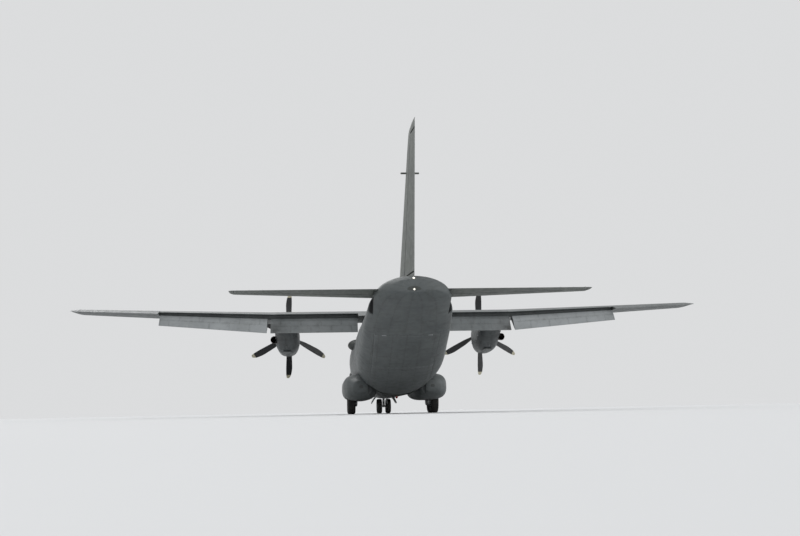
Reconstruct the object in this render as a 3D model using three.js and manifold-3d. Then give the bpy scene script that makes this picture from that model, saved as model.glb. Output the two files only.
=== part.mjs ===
import * as THREE from 'three';
import { mergeVertices } from 'three/addons/utils/BufferGeometryUtils.js';
import Module from 'manifold-3d';

// A high-wing twin-turboprop transport aircraft, standing on its gear with its flaps down.
// Millimetres. The nose points to -Y, the port side is +X, and the ground is Z = 0.
// A station is a distance aft of the nose tip; a height is a distance above the ground.

const wasm = await Module();
wasm.setup();

// Overall sizes
const LENGTH = 22700;
const FAR = 15000;
const TOUCH = 0.3;
const RUNNING = 0.8;
const BORE_SIDES = 28;
const SLIVER = 0.05;
const CLEAR = 8;

// Fuselage
const HULL_SIDES = 22;
const HULL_AXIS = 2500;
const WALL = 110;
const AFT_WALL = 62;
const RADOME_WALL = 62;
const TAIL_WALL = 40;
const RADOME_END = 1050;
const FORWARD_END = 5200;
const CENTRE_END = 12400;
const AFT_END = 18350;
const FLOOR_TOP = 1350;
const FLOOR_DEPTH = 70;
const FLOOR_START = 3960;
const HULL_SECTIONS = [
  // station, half width, top, widest height, bottom, squareness of the lower half
  [0, 60, 2140, 2080, 2020, 2],
  [70, 215, 2300, 2090, 1890, 2],
  [260, 405, 2470, 2105, 1690, 2],
  [600, 610, 2660, 2130, 1480, 2],
  [1050, 850, 2880, 2170, 1270, 2],
  [1600, 1100, 3110, 2240, 1060, 2],
  [2100, 1290, 3600, 2320, 930, 2],
  [2550, 1430, 3960, 2380, 845, 2],
  [3150, 1580, 4165, 2440, 770, 2],
  [4000, 1715, 4255, 2490, 735, 2],
  [5200, 1775, 4275, 2500, 725, 2],
  [12400, 1775, 4275, 2500, 725, 2],
  [13400, 1775, 4290, 2530, 985, 2.4],
  [14500, 1775, 4325, 2640, 1330, 3],
  [16500, 1680, 4400, 2900, 2110, 3.2],
  [18350, 1580, 4490, 3240, 2860, 3],
  [20200, 1420, 4600, 3800, 3560, 2.6],
  [20900, 1230, 4620, 4020, 3800, 2.4],
  [21180, 800, 4480, 4120, 3980, 2],
];

// Cockpit
const COCKPIT_FLOOR = 1960;
const COCKPIT_END = 3920;
const DECK_START = 1500;
const GLASS_INSET = 42;
const GLASS_THICK = 22;
const GLASS_BAND = { start: 1560, end: 3330, low: 2760, high: 3960 };
const FRONT_PANES = [
  // corners in half-span and height, seen from ahead
  [[-215, 3150], [215, 3150], [215, 3720], [-215, 3720]],
  [[285, 3130], [870, 3010], [820, 3440], [285, 3710]],
  [[-870, 3010], [-285, 3130], [-285, 3710], [-820, 3440]],
];
const FRONT_PANE_CUT = [1300, 2460];
const SIDE_PANES = [
  // corners in station and height, seen from the side
  [[2060, 2850], [2620, 2850], [2620, 3420], [2480, 3420], [2060, 3040]],
  [[2690, 2850], [3180, 2900], [3130, 3420], [2690, 3420]],
];

// Doors
const FLANK = { inner: 800, outer: 2200 };
const CREW_DOOR = { start: 4150, end: 4850, low: 1365, high: 2900 };
const CREW_HINGE = { x: 1352, z: 1352, knuckles: [4290, 4710] };
const TROOP_DOOR = { start: 12650, end: 13520, low: 1500, high: 3300 };
const DOOR_GAP = 6;
const KNUCKLE = { radius: 24, half: 30, pin: 11, reach: 62, web: 16, ear: 22 };
const ARM_STEP = 3;
const PIN_END = 4;
const ARM_ROOT = 90;
const RAMP_HALF = 1205;
const RAMP_HINGE = { station: 12400, z: 1326, knuckles: [-900, 900] };
const RAMP_END = 15600;
const RAMP_END_HEIGHT = 1765;
const RAMP_END_TOP = 1960;
const RAMP_JOINT_SLOPE = 0.55;
const RAMP_SWING = 345;
const BELLY_SKIN = 14;
const BELLY_GAP = 66;
const RAMP_NOSE_INSET = 26;
const RAMP_SKIN = 70;
const CARGO_DOOR_END = 18190;
const CARGO_HINGE = { station: 18185, z: 2830, slope: 22, knuckles: [-850, 850] };
const CARGO_DOOR_GAP = 26;
const DOOR_BEVEL = 115;

// Wing
const WING = {
  root: { x: 0, leading: 7050, chord: 3400, z: 4480, thick: 0.15 },
  break: { x: 5450, leading: 7050, chord: 3400, z: 4480, thick: 0.15 },
  tip: { x: 13950, leading: 7583, chord: 1762, z: 4851, thick: 0.13 },
  end: { x: 14350, leading: 8020, chord: 1120, z: 4869, thick: 0.07 },
};
const INCIDENCE = THREE.MathUtils.degToRad(2.7);
const CAMBER = 0.018;
const PROFILE_STEPS = 8;
const TAIL_STEPS = 6;
const FLAP_NOSE = 0.715;
const FLAP_LIP = 0.815;
const FLAP_DOWN = THREE.MathUtils.degToRad(40);
const FLAP_PIVOT = { along: 0.685, below: -0.052 };
const FLAP_SPANS = { inboard: [1520, 5385], outboard: [5515, 10320] };
const FLAP_END_GAPS = { inboard: [24, 24], outboard: [24, 40] };
const FLAP_BREAK = { reach: 50, clear: 12 };
const AILERON_SPAN = [10380, 13930];
const AILERON_HINGE = 0.74;

// Tail
const FIN_SECTIONS = [
  // height, leading station, trailing station, thickness ratio
  [4380, 16560, 21130, 0.105],
  [9250, 20660, 22585, 0.105],
  [9520, 20960, 22665, 0.1],
  [9640, 21330, 22700, 0.06],
];
const RUDDER_HINGE = 0.6;
const TAIL_BOX = { shares: [0.1, 0.2, 0.32, 0.45], wall: 23, span: 0.96 };
const RUDDER_RANGE = [4760, 9300];
const DORSAL = [
  // station, height of the crest, half width at the foot
  [13300, 4330, 30],
  [15800, 4840, 110],
  [17400, 5480, 170],
  [18200, 6200, 170],
];
const TAIL_SECTIONS = [
  // half span, leading station, trailing station, thickness ratio
  [-6200, 20230, 20780, 0.06],
  [-6050, 19960, 20900, 0.11],
  [0, 18560, 20900, 0.12],
  [6050, 19960, 20900, 0.11],
  [6200, 20230, 20780, 0.06],
];
const TAIL_HEIGHT = 4180;
const ELEVATOR_HINGE = 0.6;
const ELEVATOR_SPAN = [1330, 6030];
const FIN_AERIAL = { z: 8280, half: 325, radius: 32 };

// Power plants
const PROP_X = 4750;
const PROP_Z = 3870;
const PROP_STATION = 5100;
const BLADES = 6;
const SPINNER_RADIUS = 335;
const SPINNER_START = 4440;
const SPINNER_END = 5255;
const SHAFT_RADIUS = 90;
const NACELLE_SECTIONS = [
  // station, half width, top, widest height, bottom, squareness of the lower half
  [5275, 370, 4235, 3860, 3330, 2.2],
  [5560, 480, 4360, 3790, 2960, 2.4],
  [6050, 555, 4480, 3700, 2810, 2.6],
  [7050, 565, 4610, 3700, 2850, 2.6],
  [8100, 540, 4640, 3900, 3270, 2.4],
  [8900, 430, 4560, 4100, 3750, 2.2],
  [9250, 300, 4500, 4200, 4020, 2],
];
const NACELLE_WALL = 30;
const CHIN = { width: 300, low: 2920, high: 3330, depth: 620 };
const BLADE_SECTIONS = [
  // radius, chord, thickness, pitch from the disc in degrees, sweep
  [190, 150, 120, 62, 0],
  [460, 220, 60, 54, 0],
  [900, 330, 34, 42, -8],
  [1500, 345, 22, 32, -4],
  [1900, 265, 14, 27, 26],
  [2065, 120, 8, 25, 62],
];

// Landing gear
const NOSE_WHEEL = { station: 3050, radius: 368.5, width: 270, apart: 450 };
const MAIN_WHEEL = { stations: [8630, 9930], radius: 495, width: 330, x: 1834 };
const NOSE_BAY = { half: 410, start: 2300, end: 3720, roof: 1560, wall: 45 };
const NOSE_DOOR = { start: 2760, end: 3700, drop: 410, splay: 30, thick: 28 };
const MAIN_BAY = { inner: 1530, outer: 2105, start: 8010, end: 10560, roof: 1215 };
const SPONSON_SECTIONS = [
  // station, half width, half height
  [6300, 260, 190],
  [6800, 520, 400],
  [7600, 700, 540],
  [8300, 720, 560],
  [11300, 720, 560],
  [12100, 600, 470],
  [12600, 330, 260],
];
const SPONSON = { x: 1500, z: 1130, power: 2.8, sides: 20, wall: 40 };

const group = new THREE.Group();

const aft = (station) => station - LENGTH / 2;
const { lerp } = THREE.MathUtils;
const AFTWARD = new THREE.Vector3(0, 1, 0);
const UPWARD = new THREE.Vector3(0, 0, 1);
const SIDEWAYS = new THREE.Vector3(1, 0, 0);

// Solids

function solid(geometry) {
  const bare = geometry.index ? geometry.clone() : geometry;
  bare.deleteAttribute('normal');
  bare.deleteAttribute('uv');
  const merged = mergeVertices(bare, 1e-3);
  return new wasm.Manifold(new wasm.Mesh({
    numProp: 3,
    vertProperties: new Float32Array(merged.attributes.position.array),
    triVerts: new Uint32Array(merged.index.array),
  }));
}

function box(x0, x1, y0, y1, z0, z1) {
  const geometry = new THREE.BoxGeometry(x1 - x0, y1 - y0, z1 - z0);
  geometry.translate((x0 + x1) / 2, (y0 + y1) / 2, (z0 + z1) / 2);
  return solid(geometry);
}

// A slice of everything between two stations
const slice = (start, end) => box(-FAR, FAR, aft(start), aft(end), -FAR, FAR);

// A round bar between two points
function bar(from, to, radius, sides = 12, endRadius = radius) {
  const start = new THREE.Vector3(...from);
  const along = new THREE.Vector3(...to).sub(start);
  const geometry = new THREE.CylinderGeometry(endRadius, radius, along.length(), sides);
  geometry.translate(0, along.length() / 2, 0);
  const up = new THREE.Vector3(0, 1, 0);
  geometry.applyQuaternion(new THREE.Quaternion().setFromUnitVectors(up, along.clone().normalize()));
  geometry.translate(start.x, start.y, start.z);
  return solid(geometry);
}

// A polygon drawn in two coordinates and carried along the third
function prism(axis, corners, from, to) {
  const shape = new THREE.Shape(corners.map(([u, v]) => new THREE.Vector2(u, v)));
  const geometry = new THREE.ExtrudeGeometry(shape, { depth: to - from, bevelEnabled: false });
  const turn = new THREE.Matrix4();
  if (axis === 'x') {
    geometry.translate(0, 0, from);
    turn.set(0, 0, 1, 0, 1, 0, 0, 0, 0, 1, 0, 0, 0, 0, 0, 1);
  } else if (axis === 'y') {
    geometry.translate(0, 0, -to);
    turn.set(1, 0, 0, 0, 0, 0, -1, 0, 0, 1, 0, 0, 0, 0, 0, 1);
  } else {
    geometry.translate(0, 0, from);
  }
  geometry.applyMatrix4(turn);
  return solid(geometry);
}

// A skin over rings that all have the same number of points, closed flat at both ends
function loft(rings) {
  const count = rings[0].length;
  const points = rings.flat();
  const index = [];
  for (let ring = 0; ring < rings.length - 1; ring += 1) {
    for (let k = 0; k < count; k += 1) {
      const a = ring * count + k;
      const b = ring * count + ((k + 1) % count);
      index.push(a, b, b + count, a, b + count, a + count);
    }
  }
  const last = (rings.length - 1) * count;
  for (let k = 1; k < count - 1; k += 1) {
    index.push(0, k + 1, k);
    index.push(last, last + k, last + k + 1);
  }
  let volume = 0;
  for (let i = 0; i < index.length; i += 3) {
    const [a, b, c] = [points[index[i]], points[index[i + 1]], points[index[i + 2]]];
    volume += a.dot(new THREE.Vector3().crossVectors(b, c));
  }
  if (volume < 0) index.reverse();
  const geometry = new THREE.BufferGeometry().setFromPoints(points);
  geometry.setIndex(index);
  return solid(geometry);
}

// A closed round form turned about the line through a centre, along X or Y
function turned(profile, axis, centre, sides) {
  const points = profile.map(([radius, along]) => new THREE.Vector2(radius, along));
  const geometry = new THREE.LatheGeometry(points, sides);
  if (axis === 'x') geometry.rotateZ(-Math.PI / 2);
  geometry.translate(...centre);
  return solid(geometry);
}

// The largest body of a cut piece
function main(piece) {
  const bodies = piece.decompose();
  return bodies.reduce((best, body) => (body.volume() > best.volume() ? body : best));
}

const mirrored = (piece) => piece.mirror([1, 0, 0]);

function turnAbout(piece, point, direction, angle) {
  const turn = new THREE.Matrix4().makeRotationAxis(new THREE.Vector3(...direction).normalize(), angle);
  const there = new THREE.Matrix4().makeTranslation(...point);
  const back = new THREE.Matrix4().makeTranslation(...point.map((value) => -value));
  return piece.transform(there.multiply(turn).multiply(back).elements);
}

// Finishes

const FINISHES = {
  paint: { color: 0x6f767a, roughness: 0.6, metalness: 0.1 },
  composite: { color: 0x5f6568, roughness: 0.65, metalness: 0 },
  glass: { color: 0x1c2428, roughness: 0.08, metalness: 0, transparent: true, opacity: 0.4 },
  interior: { color: 0x5a5e58, roughness: 0.8, metalness: 0 },
  seat: { color: 0x2c2e2c, roughness: 0.9, metalness: 0 },
  metal: { color: 0x9a9ca0, roughness: 0.4, metalness: 0.9 },
  gear: { color: 0xd5d7d6, roughness: 0.45, metalness: 0.2 },
  hot: { color: 0x4b423b, roughness: 0.5, metalness: 0.8 },
  blade: { color: 0x1b1c1e, roughness: 0.5, metalness: 0 },
  rubber: { color: 0x141414, roughness: 0.9, metalness: 0 },
};

function add(name, piece, finish) {
  const { vertProperties, triVerts, numProp } = main(piece).simplify(SLIVER).getMesh();
  const geometry = new THREE.BufferGeometry();
  const positions = new Float32Array((vertProperties.length / numProp) * 3);
  for (let i = 0; i < positions.length / 3; i += 1) {
    positions.set(vertProperties.subarray(i * numProp, i * numProp + 3), i * 3);
  }
  geometry.setAttribute('position', new THREE.BufferAttribute(positions, 3));
  geometry.setIndex(new THREE.BufferAttribute(new Uint32Array(triVerts), 1));
  geometry.computeVertexNormals();
  const mesh = new THREE.Mesh(geometry, new THREE.MeshStandardMaterial(FINISHES[finish]));
  mesh.name = name;
  group.add(mesh);
}

// A piece made on the port side and its mirror image on the starboard side
function addPair(name, piece, finish) {
  add(`${name}_port`, piece, finish);
  add(`${name}_starboard`, mirrored(piece), finish);
}

// Fuselage

const power = (value, exponent) => Math.sign(value) * Math.abs(value) ** exponent;

function hullRing([station, half, top, widest, bottom, square], inset, x, sides) {
  const ring = [];
  for (let k = 0; k < sides; k += 1) {
    const angle = (2 * Math.PI * (k + 0.5)) / sides;
    const shape = Math.sin(angle) < 0 ? 2 / square : 1;
    const reach = Math.sin(angle) < 0 ? widest - bottom : top - widest;
    ring.push(new THREE.Vector3(
      x + (half - inset) * power(Math.cos(angle), shape),
      aft(station),
      widest + (reach - inset) * power(Math.sin(angle), shape),
    ));
  }
  return ring;
}

const NOSE_SECTION = 2;
const hullRows = (inset) => (inset > 60 ? HULL_SECTIONS.slice(NOSE_SECTION, -1) : HULL_SECTIONS);
const hull = (inset = 0) => loft(hullRows(inset).map((row) => hullRing(row, inset, 0, HULL_SIDES)));
const outer = hull();
const grownHull = hull(-TOUCH);

function wingRow(x) {
  const rows = [WING.root, WING.break, WING.tip, WING.end];
  const at = Math.max(1, rows.findIndex((row) => Math.abs(x) <= row.x));
  const [low, high] = [rows[at - 1], rows[at]];
  const share = (Math.abs(x) - low.x) / (high.x - low.x);
  const mix = (key) => low[key] + (high[key] - low[key]) * share;
  return { x, leading: mix('leading'), chord: mix('chord'), z: mix('z'), thick: mix('thick') };
}

// Half the thickness of a wing section, as a share of its chord
function halfThick(along, thick) {
  const x = Math.min(Math.max(along, 0), 1);
  return 5 * thick * (0.2969 * Math.sqrt(x) - 0.126 * x - 0.3516 * x ** 2
    + 0.2843 * x ** 3 - 0.1036 * x ** 4);
}

// Points round a wing section as [distance aft, height], from the trailing edge over the top
function profile(chord, thick, camber, grow, steps = PROFILE_STEPS) {
  const points = [];
  for (let k = 0; k < 2 * steps; k += 1) {
    const angle = (Math.PI * k) / steps;
    const along = (1 + Math.cos(angle)) / 2;
    const side = k % steps === 0 ? 0 : Math.sign(Math.sin(angle));
    const middle = 4 * camber * along * (1 - along) * chord;
    points.push([
      along * chord + grow * Math.cos(angle),
      middle + side * (halfThick(along, thick) * chord + grow),
    ]);
  }
  return points;
}

// A point of the wing, given as shares of the local chord aft of and above the chord line
function onWing(x, along, above) {
  const row = wingRow(x);
  const [a, n] = [along * row.chord, above * row.chord];
  const [c, s] = [Math.cos(INCIDENCE), Math.sin(INCIDENCE)];
  return new THREE.Vector3(x, aft(row.leading) + a * c + n * s, row.z - a * s + n * c);
}

function wingRing(x, grow) {
  const row = wingRow(x);
  return profile(row.chord, row.thick, CAMBER, grow)
    .map(([a, n]) => onWing(x, a / row.chord, n / row.chord));
}

const wingStations = [WING.end, WING.tip, WING.break].map((row) => row.x);
const wingSolid = (grow) => loft([...wingStations, ...wingStations.map((x) => -x).reverse()]
  .map((x) => wingRing(x, grow)));
const wing = wingSolid(0);
const grownWing = wingSolid(TOUCH);

// The radome and the three hull barrels

const inner = hull(WALL);
const radomeHollow = hull(RADOME_WALL).intersect(slice(600, RADOME_END + 10));
add('radome', outer.intersect(slice(-10, RADOME_END - TOUCH)).subtract(radomeHollow), 'composite');

function bandBox(grow) {
  const { start, end, low, high } = GLASS_BAND;
  return box(-FAR, FAR, aft(start) - grow, aft(end) + grow, low - grow, high + grow);
}

const SENSOR_BLISTER = { x: 1590, station: 3050, z: 1950, reach: 150, long: 420, high: 210 };
const PORT_BLISTER = { x: 1560, station: 10450, z: 3000, reach: 420, long: 520, high: 260 };
function blister({ x, station, z, reach, long, high }) {
  const geometry = new THREE.SphereGeometry(1, 10, 6);
  geometry.scale(reach, long, high);
  geometry.translate(x, aft(station), z);
  return solid(geometry).subtract(inner);
}

const { half: BAY_HALF, wall: BAY_WALL } = NOSE_BAY;
const noseBay = box(-BAY_HALF, BAY_HALF, aft(NOSE_BAY.start), aft(NOSE_BAY.end), 300, NOSE_BAY.roof);
const noseBayLiner = box(
  -BAY_HALF - BAY_WALL,
  BAY_HALF + BAY_WALL,
  aft(NOSE_BAY.start) - BAY_WALL,
  aft(NOSE_BAY.end) + BAY_WALL,
  700,
  NOSE_BAY.roof + BAY_WALL,
).intersect(outer);

function crewDoorCut(gap) {
  const { start, end, low, high } = CREW_DOOR;
  return box(FLANK.inner, FLANK.outer, aft(start) - gap, aft(end) + gap, low - gap, high + gap);
}

let forward = outer.subtract(inner).intersect(slice(RADOME_END + TOUCH, FORWARD_END - TOUCH));
forward = forward.add(noseBayLiner);
const sensorBlister = blister(SENSOR_BLISTER);
forward = forward.add(sensorBlister).add(mirrored(sensorBlister));
forward = forward.subtract(hull(GLASS_INSET - TOUCH).intersect(bandBox(TOUCH)));
for (const corners of FRONT_PANES) {
  forward = forward.subtract(prism('y', corners, aft(FRONT_PANE_CUT[0]), aft(FRONT_PANE_CUT[1])));
}
for (const side of [1, -1]) {
  for (const corners of SIDE_PANES) {
    const pane = prism('x', corners.map(([s, z]) => [aft(s), z]), FLANK.inner, FLANK.outer);
    forward = forward.subtract(side > 0 ? pane : mirrored(pane));
  }
}
forward = forward.subtract(noseBay).subtract(crewDoorCut(DOOR_GAP));

add('windscreen', hull(GLASS_INSET).subtract(hull(GLASS_INSET + GLASS_THICK))
  .intersect(bandBox(0)), 'glass');

const crewUp = new THREE.Vector3(HULL_AXIS - CREW_HINGE.z, 0, CREW_HINGE.x).normalize();
const [forwardFrame, crewDoor] = hang(forward, outer.subtract(inner).intersect(crewDoorCut(0)),
  CREW_HINGE.knuckles.map((station) => knuckle(
    new THREE.Vector3(CREW_HINGE.x, aft(station), CREW_HINGE.z), AFTWARD, crewUp, 0,
  )));
add('fuselage_forward', forwardFrame, 'paint');
add('crew_door', crewDoor, 'paint');

const centreSlice = slice(FORWARD_END + TOUCH, CENTRE_END - TOUCH);
let centre = outer.subtract(inner).intersect(centreSlice);
centre = centre.add(blister(PORT_BLISTER));
const swingRoom = box(-RAMP_HALF - 10, RAMP_HALF + 10, aft(CENTRE_END - RAMP_SWING), aft(CENTRE_END) + 50,
  600, FLOOR_TOP + 60).intersect(hull(BELLY_SKIN));
const bellyEdge = box(-RAMP_HALF - 10, RAMP_HALF + 10, aft(CENTRE_END - BELLY_GAP), aft(CENTRE_END) + 50,
  600, FLOOR_TOP + 60);
centre = centre.subtract(swingRoom).subtract(bellyEdge).subtract(grownWing);
add('fuselage_centre', centre, 'paint');

// Ramp and cargo door, both cut from the rising underside

const jointStation = (z) => RAMP_END - RAMP_JOINT_SLOPE * (z - RAMP_END_HEIGHT);
const jointPoint = (z, shift) => [aft(jointStation(z)) + shift, z];

function rampPrism(gap) {
  const front = aft(CENTRE_END) + 10 - gap;
  const side = RAMP_HALF + gap;
  return prism('x', [
    [front, 500],
    jointPoint(1000, gap),
    jointPoint(RAMP_END_TOP + gap, gap - 10),
    [front, FLOOR_TOP + gap],
  ], -side, side);
}

const rampNose = slice(CENTRE_END, CENTRE_END + RAMP_SWING);
const rampOuter = outer.subtract(rampNose).add(hull(RAMP_NOSE_INSET).intersect(rampNose));
const rampHollow = rampPrism(-RAMP_SKIN).intersect(hull(RAMP_NOSE_INSET + RAMP_SKIN))
  .intersect(slice(CENTRE_END + RAMP_SKIN, RAMP_END));
const rampAccess = box(-200, 200, aft(CENTRE_END), aft(CENTRE_END + RAMP_SKIN * 2), 1000, 1150);
const bareRamp = rampOuter.intersect(rampPrism(0)).subtract(rampHollow).subtract(rampAccess);

const aftInner = hull(AFT_WALL);

function cargoDoorPrism(gap, high) {
  const side = RAMP_HALF + gap;
  return prism('x', [
    jointPoint(1000, 10 - gap),
    [aft(CARGO_DOOR_END) + gap, 1000],
    [aft(CARGO_DOOR_END) + gap, high],
    jointPoint(high, 10 - gap),
  ], -side, side);
}

const doorLid = prism('x', [
  [aft(15300), RAMP_END_TOP + 30],
  [aft(CARGO_DOOR_END) - DOOR_BEVEL, 3020],
  [aft(CARGO_DOOR_END), CARGO_HINGE.z + 16],
  [aft(CARGO_DOOR_END), 1000],
  [aft(15300), 1000],
], -RAMP_HALF, RAMP_HALF);
const bareDoor = outer.subtract(aftInner).intersect(cargoDoorPrism(0, 3200)).intersect(doorLid);

function troopDoorCut(gap) {
  const { start, end, low, high } = TROOP_DOOR;
  return box(FLANK.inner, FLANK.outer, aft(start) - gap, aft(end) + gap, low - Math.min(gap, 0), high + gap);
}

const rearOpening = prism('x', [
  [aft(CENTRE_END) - 50, 300],
  [aft(CARGO_DOOR_END) + CARGO_DOOR_GAP, 300],
  [aft(CARGO_DOOR_END) + CARGO_DOOR_GAP, 3090],
  [aft(RAMP_END), RAMP_END_TOP + 60],
  [aft(CENTRE_END) - 50, FLOOR_TOP + 20],
], -RAMP_HALF - CLEAR, RAMP_HALF + CLEAR);
let rear = outer.subtract(aftInner.intersect(slice(CENTRE_END - 10, AFT_END - AFT_WALL)))
  .intersect(slice(CENTRE_END + TOUCH, AFT_END - TOUCH));
rear = rear.subtract(rearOpening);
for (const side of [1, -1]) {
  rear = rear.subtract(side > 0 ? troopDoorCut(DOOR_GAP) : mirrored(troopDoorCut(DOOR_GAP)));
}
const doorSlope = THREE.MathUtils.degToRad(CARGO_HINGE.slope);
const doorBack = new THREE.Vector3(0, -Math.cos(doorSlope), -Math.sin(doorSlope));
const [rearFrame, cargoDoor] = hang(rear, bareDoor, CARGO_HINGE.knuckles.map((x) => knuckle(
  new THREE.Vector3(x, aft(CARGO_HINGE.station), CARGO_HINGE.z), SIDEWAYS, doorBack, 0,
)));
add('fuselage_aft', rearFrame, 'paint');
add('cargo_door', cargoDoor, 'paint');
addPair('troop_door', outer.subtract(aftInner).intersect(troopDoorCut(-TOUCH)), 'paint');

// Tail surfaces

function tailRing([x, leading, trailing, thick], grow) {
  return profile(trailing - leading, thick, 0, grow, TAIL_STEPS)
    .map(([a, n]) => new THREE.Vector3(x, aft(leading) + a, TAIL_HEIGHT + n));
}

function finRing([z, leading, trailing, thick], grow) {
  return profile(trailing - leading, thick, 0, grow, TAIL_STEPS)
    .map(([a, n]) => new THREE.Vector3(n, aft(leading) + a, z));
}

// The room of a control surface: a round nose about its hinge line and open behind
const ROOM_STEPS = 5;
const ROOM_REACH = 2600;
const ROOM_EXTRA = 0.12;
const ROOM_FLAT = Math.cos(Math.PI / 2 / ROOM_STEPS);
function roomRing(hinge, back, up, radius, reach) {
  const ring = [];
  for (let k = 0; k <= ROOM_STEPS; k += 1) {
    const angle = Math.PI / 2 + (Math.PI * k) / ROOM_STEPS;
    ring.push(hinge.clone()
      .addScaledVector(back, radius * Math.cos(angle))
      .addScaledVector(up, radius * Math.sin(angle)));
  }
  ring.push(hinge.clone().addScaledVector(back, reach).addScaledVector(up, -reach));
  ring.push(hinge.clone().addScaledVector(back, reach).addScaledVector(up, reach));
  return ring;
}

// A hinge knuckle: an arm and eye on the fixed side, with a pin into the moving side's ears
function knuckle(hinge, along, back, nose, slot = KNUCKLE.web + CLEAR) {
  const at = (side) => hinge.clone().addScaledVector(along, side).toArray();
  const { radius, half, pin, reach, web, ear } = KNUCKLE;
  const sideways = new THREE.Vector3().crossVectors(back, along).normalize();
  const arm = (wide, high) => loft([-1, 1].map((end) => [[-1, -1], [1, -1], [1, 1], [-1, 1]].map(([u, v]) => (
    hinge.clone().addScaledVector(along, end * wide)
      .addScaledVector(back, u < 0 ? -nose - ARM_ROOT : ARM_STEP).addScaledVector(sideways, v * high)
  ))));
  const ears = (grow, gap) => bar(at(half + CLEAR - gap), at(reach + gap), ear + grow, 6)
    .add(bar(at(-half - CLEAR + gap), at(-reach - gap), ear + grow, 6));
  return {
    fixed: bar(at(-half), at(half), radius, 6).add(arm(half - ARM_STEP, web))
      .add(bar(at(-reach), at(reach), pin, 6)),
    room: bar(at(-half - CLEAR), at(half + CLEAR), radius + CLEAR + 4, 6)
      .add(arm(half - ARM_STEP + CLEAR, slot))
      .add(bar(at(-reach - PIN_END), at(reach + PIN_END), pin + RUNNING + TOUCH, 8)),
    ears: ears(0, 0),
    earRoom: ears(CLEAR, CLEAR),
  };
}

// Joins a door to its frame at knuckles along one hinge line
function hang(fixed, moving, knuckles) {
  let [frame, door] = [fixed, moving];
  for (const made of knuckles) {
    frame = frame.subtract(made.earRoom).add(made.fixed);
    door = door.add(made.ears).subtract(made.room);
  }
  return [frame, door];
}

// Splits a surface into its fixed part and the control surface on its hinge line
function control(surface, { hingeAt, backAt, upAt, radiusAt, ends, gaps, knuckles, slab }) {
  const line = hingeAt(ends[1]).sub(hingeAt(ends[0]));
  const along = line.clone().normalize();
  const back = backAt.clone().addScaledVector(along, -backAt.dot(along)).normalize();
  const up = new THREE.Vector3().crossVectors(along, back);
  if (up.dot(upAt) < 0) up.negate();
  const ring = (share, grow) => roomRing(
    hingeAt(ends[0]).addScaledVector(line, share),
    back,
    up,
    (lerp(radiusAt(ends[0]), radiusAt(ends[1]), share) + grow) / (grow ? ROOM_FLAT : 1),
    ROOM_REACH,
  );
  const room = (grow) => loft([ring(-ROOM_EXTRA, grow), ring(1 + ROOM_EXTRA, grow)]);
  let fixed = surface.subtract(room(CLEAR).intersect(slab(ends[0] - gaps[0], ends[1] + gaps[1])));
  let moving = surface.intersect(room(0)).intersect(slab(...ends));
  for (const share of knuckles) {
    const radius = lerp(radiusAt(ends[0]), radiusAt(ends[1]), share);
    const made = knuckle(
      hingeAt(ends[0]).addScaledVector(line, share), along, back, radius, radius + 2 * CLEAR,
    );
    moving = moving.subtract(made.room);
    fixed = fixed.add(made.fixed);
  }
  return { fixed, moving };
}

function between(rows, value, column, key = 0) {
  const at = rows.findIndex((row, i) => i > 0 && value <= row[key]);
  const [low, high] = [rows[at - 1], rows[at]];
  return lerp(low[column], high[column], (value - low[key]) / (high[key] - low[key]));
}

// Tailplane and elevators
const tailOuter = loft(TAIL_SECTIONS.map((row) => tailRing(row, 0)));
// The hollow box inside a tail surface, as [distance aft of the leading edge, distance from the middle]
function boxProfile(chord, thick) {
  const { shares, wall } = TAIL_BOX;
  const upper = shares.map((share) => [share * chord, halfThick(share, thick) * chord - wall]);
  return [...upper, ...upper.map(([a, n]) => [a, -n]).reverse()];
}
const tailCavity = loft(TAIL_SECTIONS.slice(1, -1).map(([x, leading, trailing, thick]) => (
  boxProfile(trailing - leading, thick)
    .map(([a, n]) => new THREE.Vector3(x * TAIL_BOX.span, aft(leading) + a, TAIL_HEIGHT + n))
)));
const TAIL_HATCH = { half: 240, start: 19100, end: 19500, depth: 400 };
const tailHatch = box(-TAIL_HATCH.half, TAIL_HATCH.half, aft(TAIL_HATCH.start), aft(TAIL_HATCH.end),
  TAIL_HEIGHT - TAIL_HATCH.depth, TAIL_HEIGHT - TAIL_BOX.wall);
const tailFraction = (x) => {
  const leading = between(TAIL_SECTIONS, x, 1);
  const chord = between(TAIL_SECTIONS, x, 2) - leading;
  return { leading, chord, thick: between(TAIL_SECTIONS, x, 3) };
};
const elevatorHinge = (x) => {
  const { leading, chord } = tailFraction(x);
  return new THREE.Vector3(x, aft(leading + ELEVATOR_HINGE * chord), TAIL_HEIGHT);
};
const elevatorRadius = (x) => {
  const { chord, thick } = tailFraction(x);
  return halfThick(ELEVATOR_HINGE, thick) * chord * 1.03;
};
const acrossSlab = (low, high) => box(low, high, -FAR, FAR, -FAR, FAR);
const portTail = control(tailOuter, {
  hingeAt: elevatorHinge,
  backAt: AFTWARD,
  upAt: UPWARD,
  radiusAt: elevatorRadius,
  ends: ELEVATOR_SPAN,
  gaps: [16, 16],
  knuckles: [0.14, 0.83],
  slab: acrossSlab,
});
const portHalf = portTail.fixed.intersect(box(0, FAR, -FAR, FAR, -FAR, FAR));
const tailplaneSolid = portHalf.add(mirrored(portHalf));
add('tailplane', tailplaneSolid.subtract(tailCavity).subtract(tailHatch), 'paint');
addPair('elevator', portTail.moving, 'composite');

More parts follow.
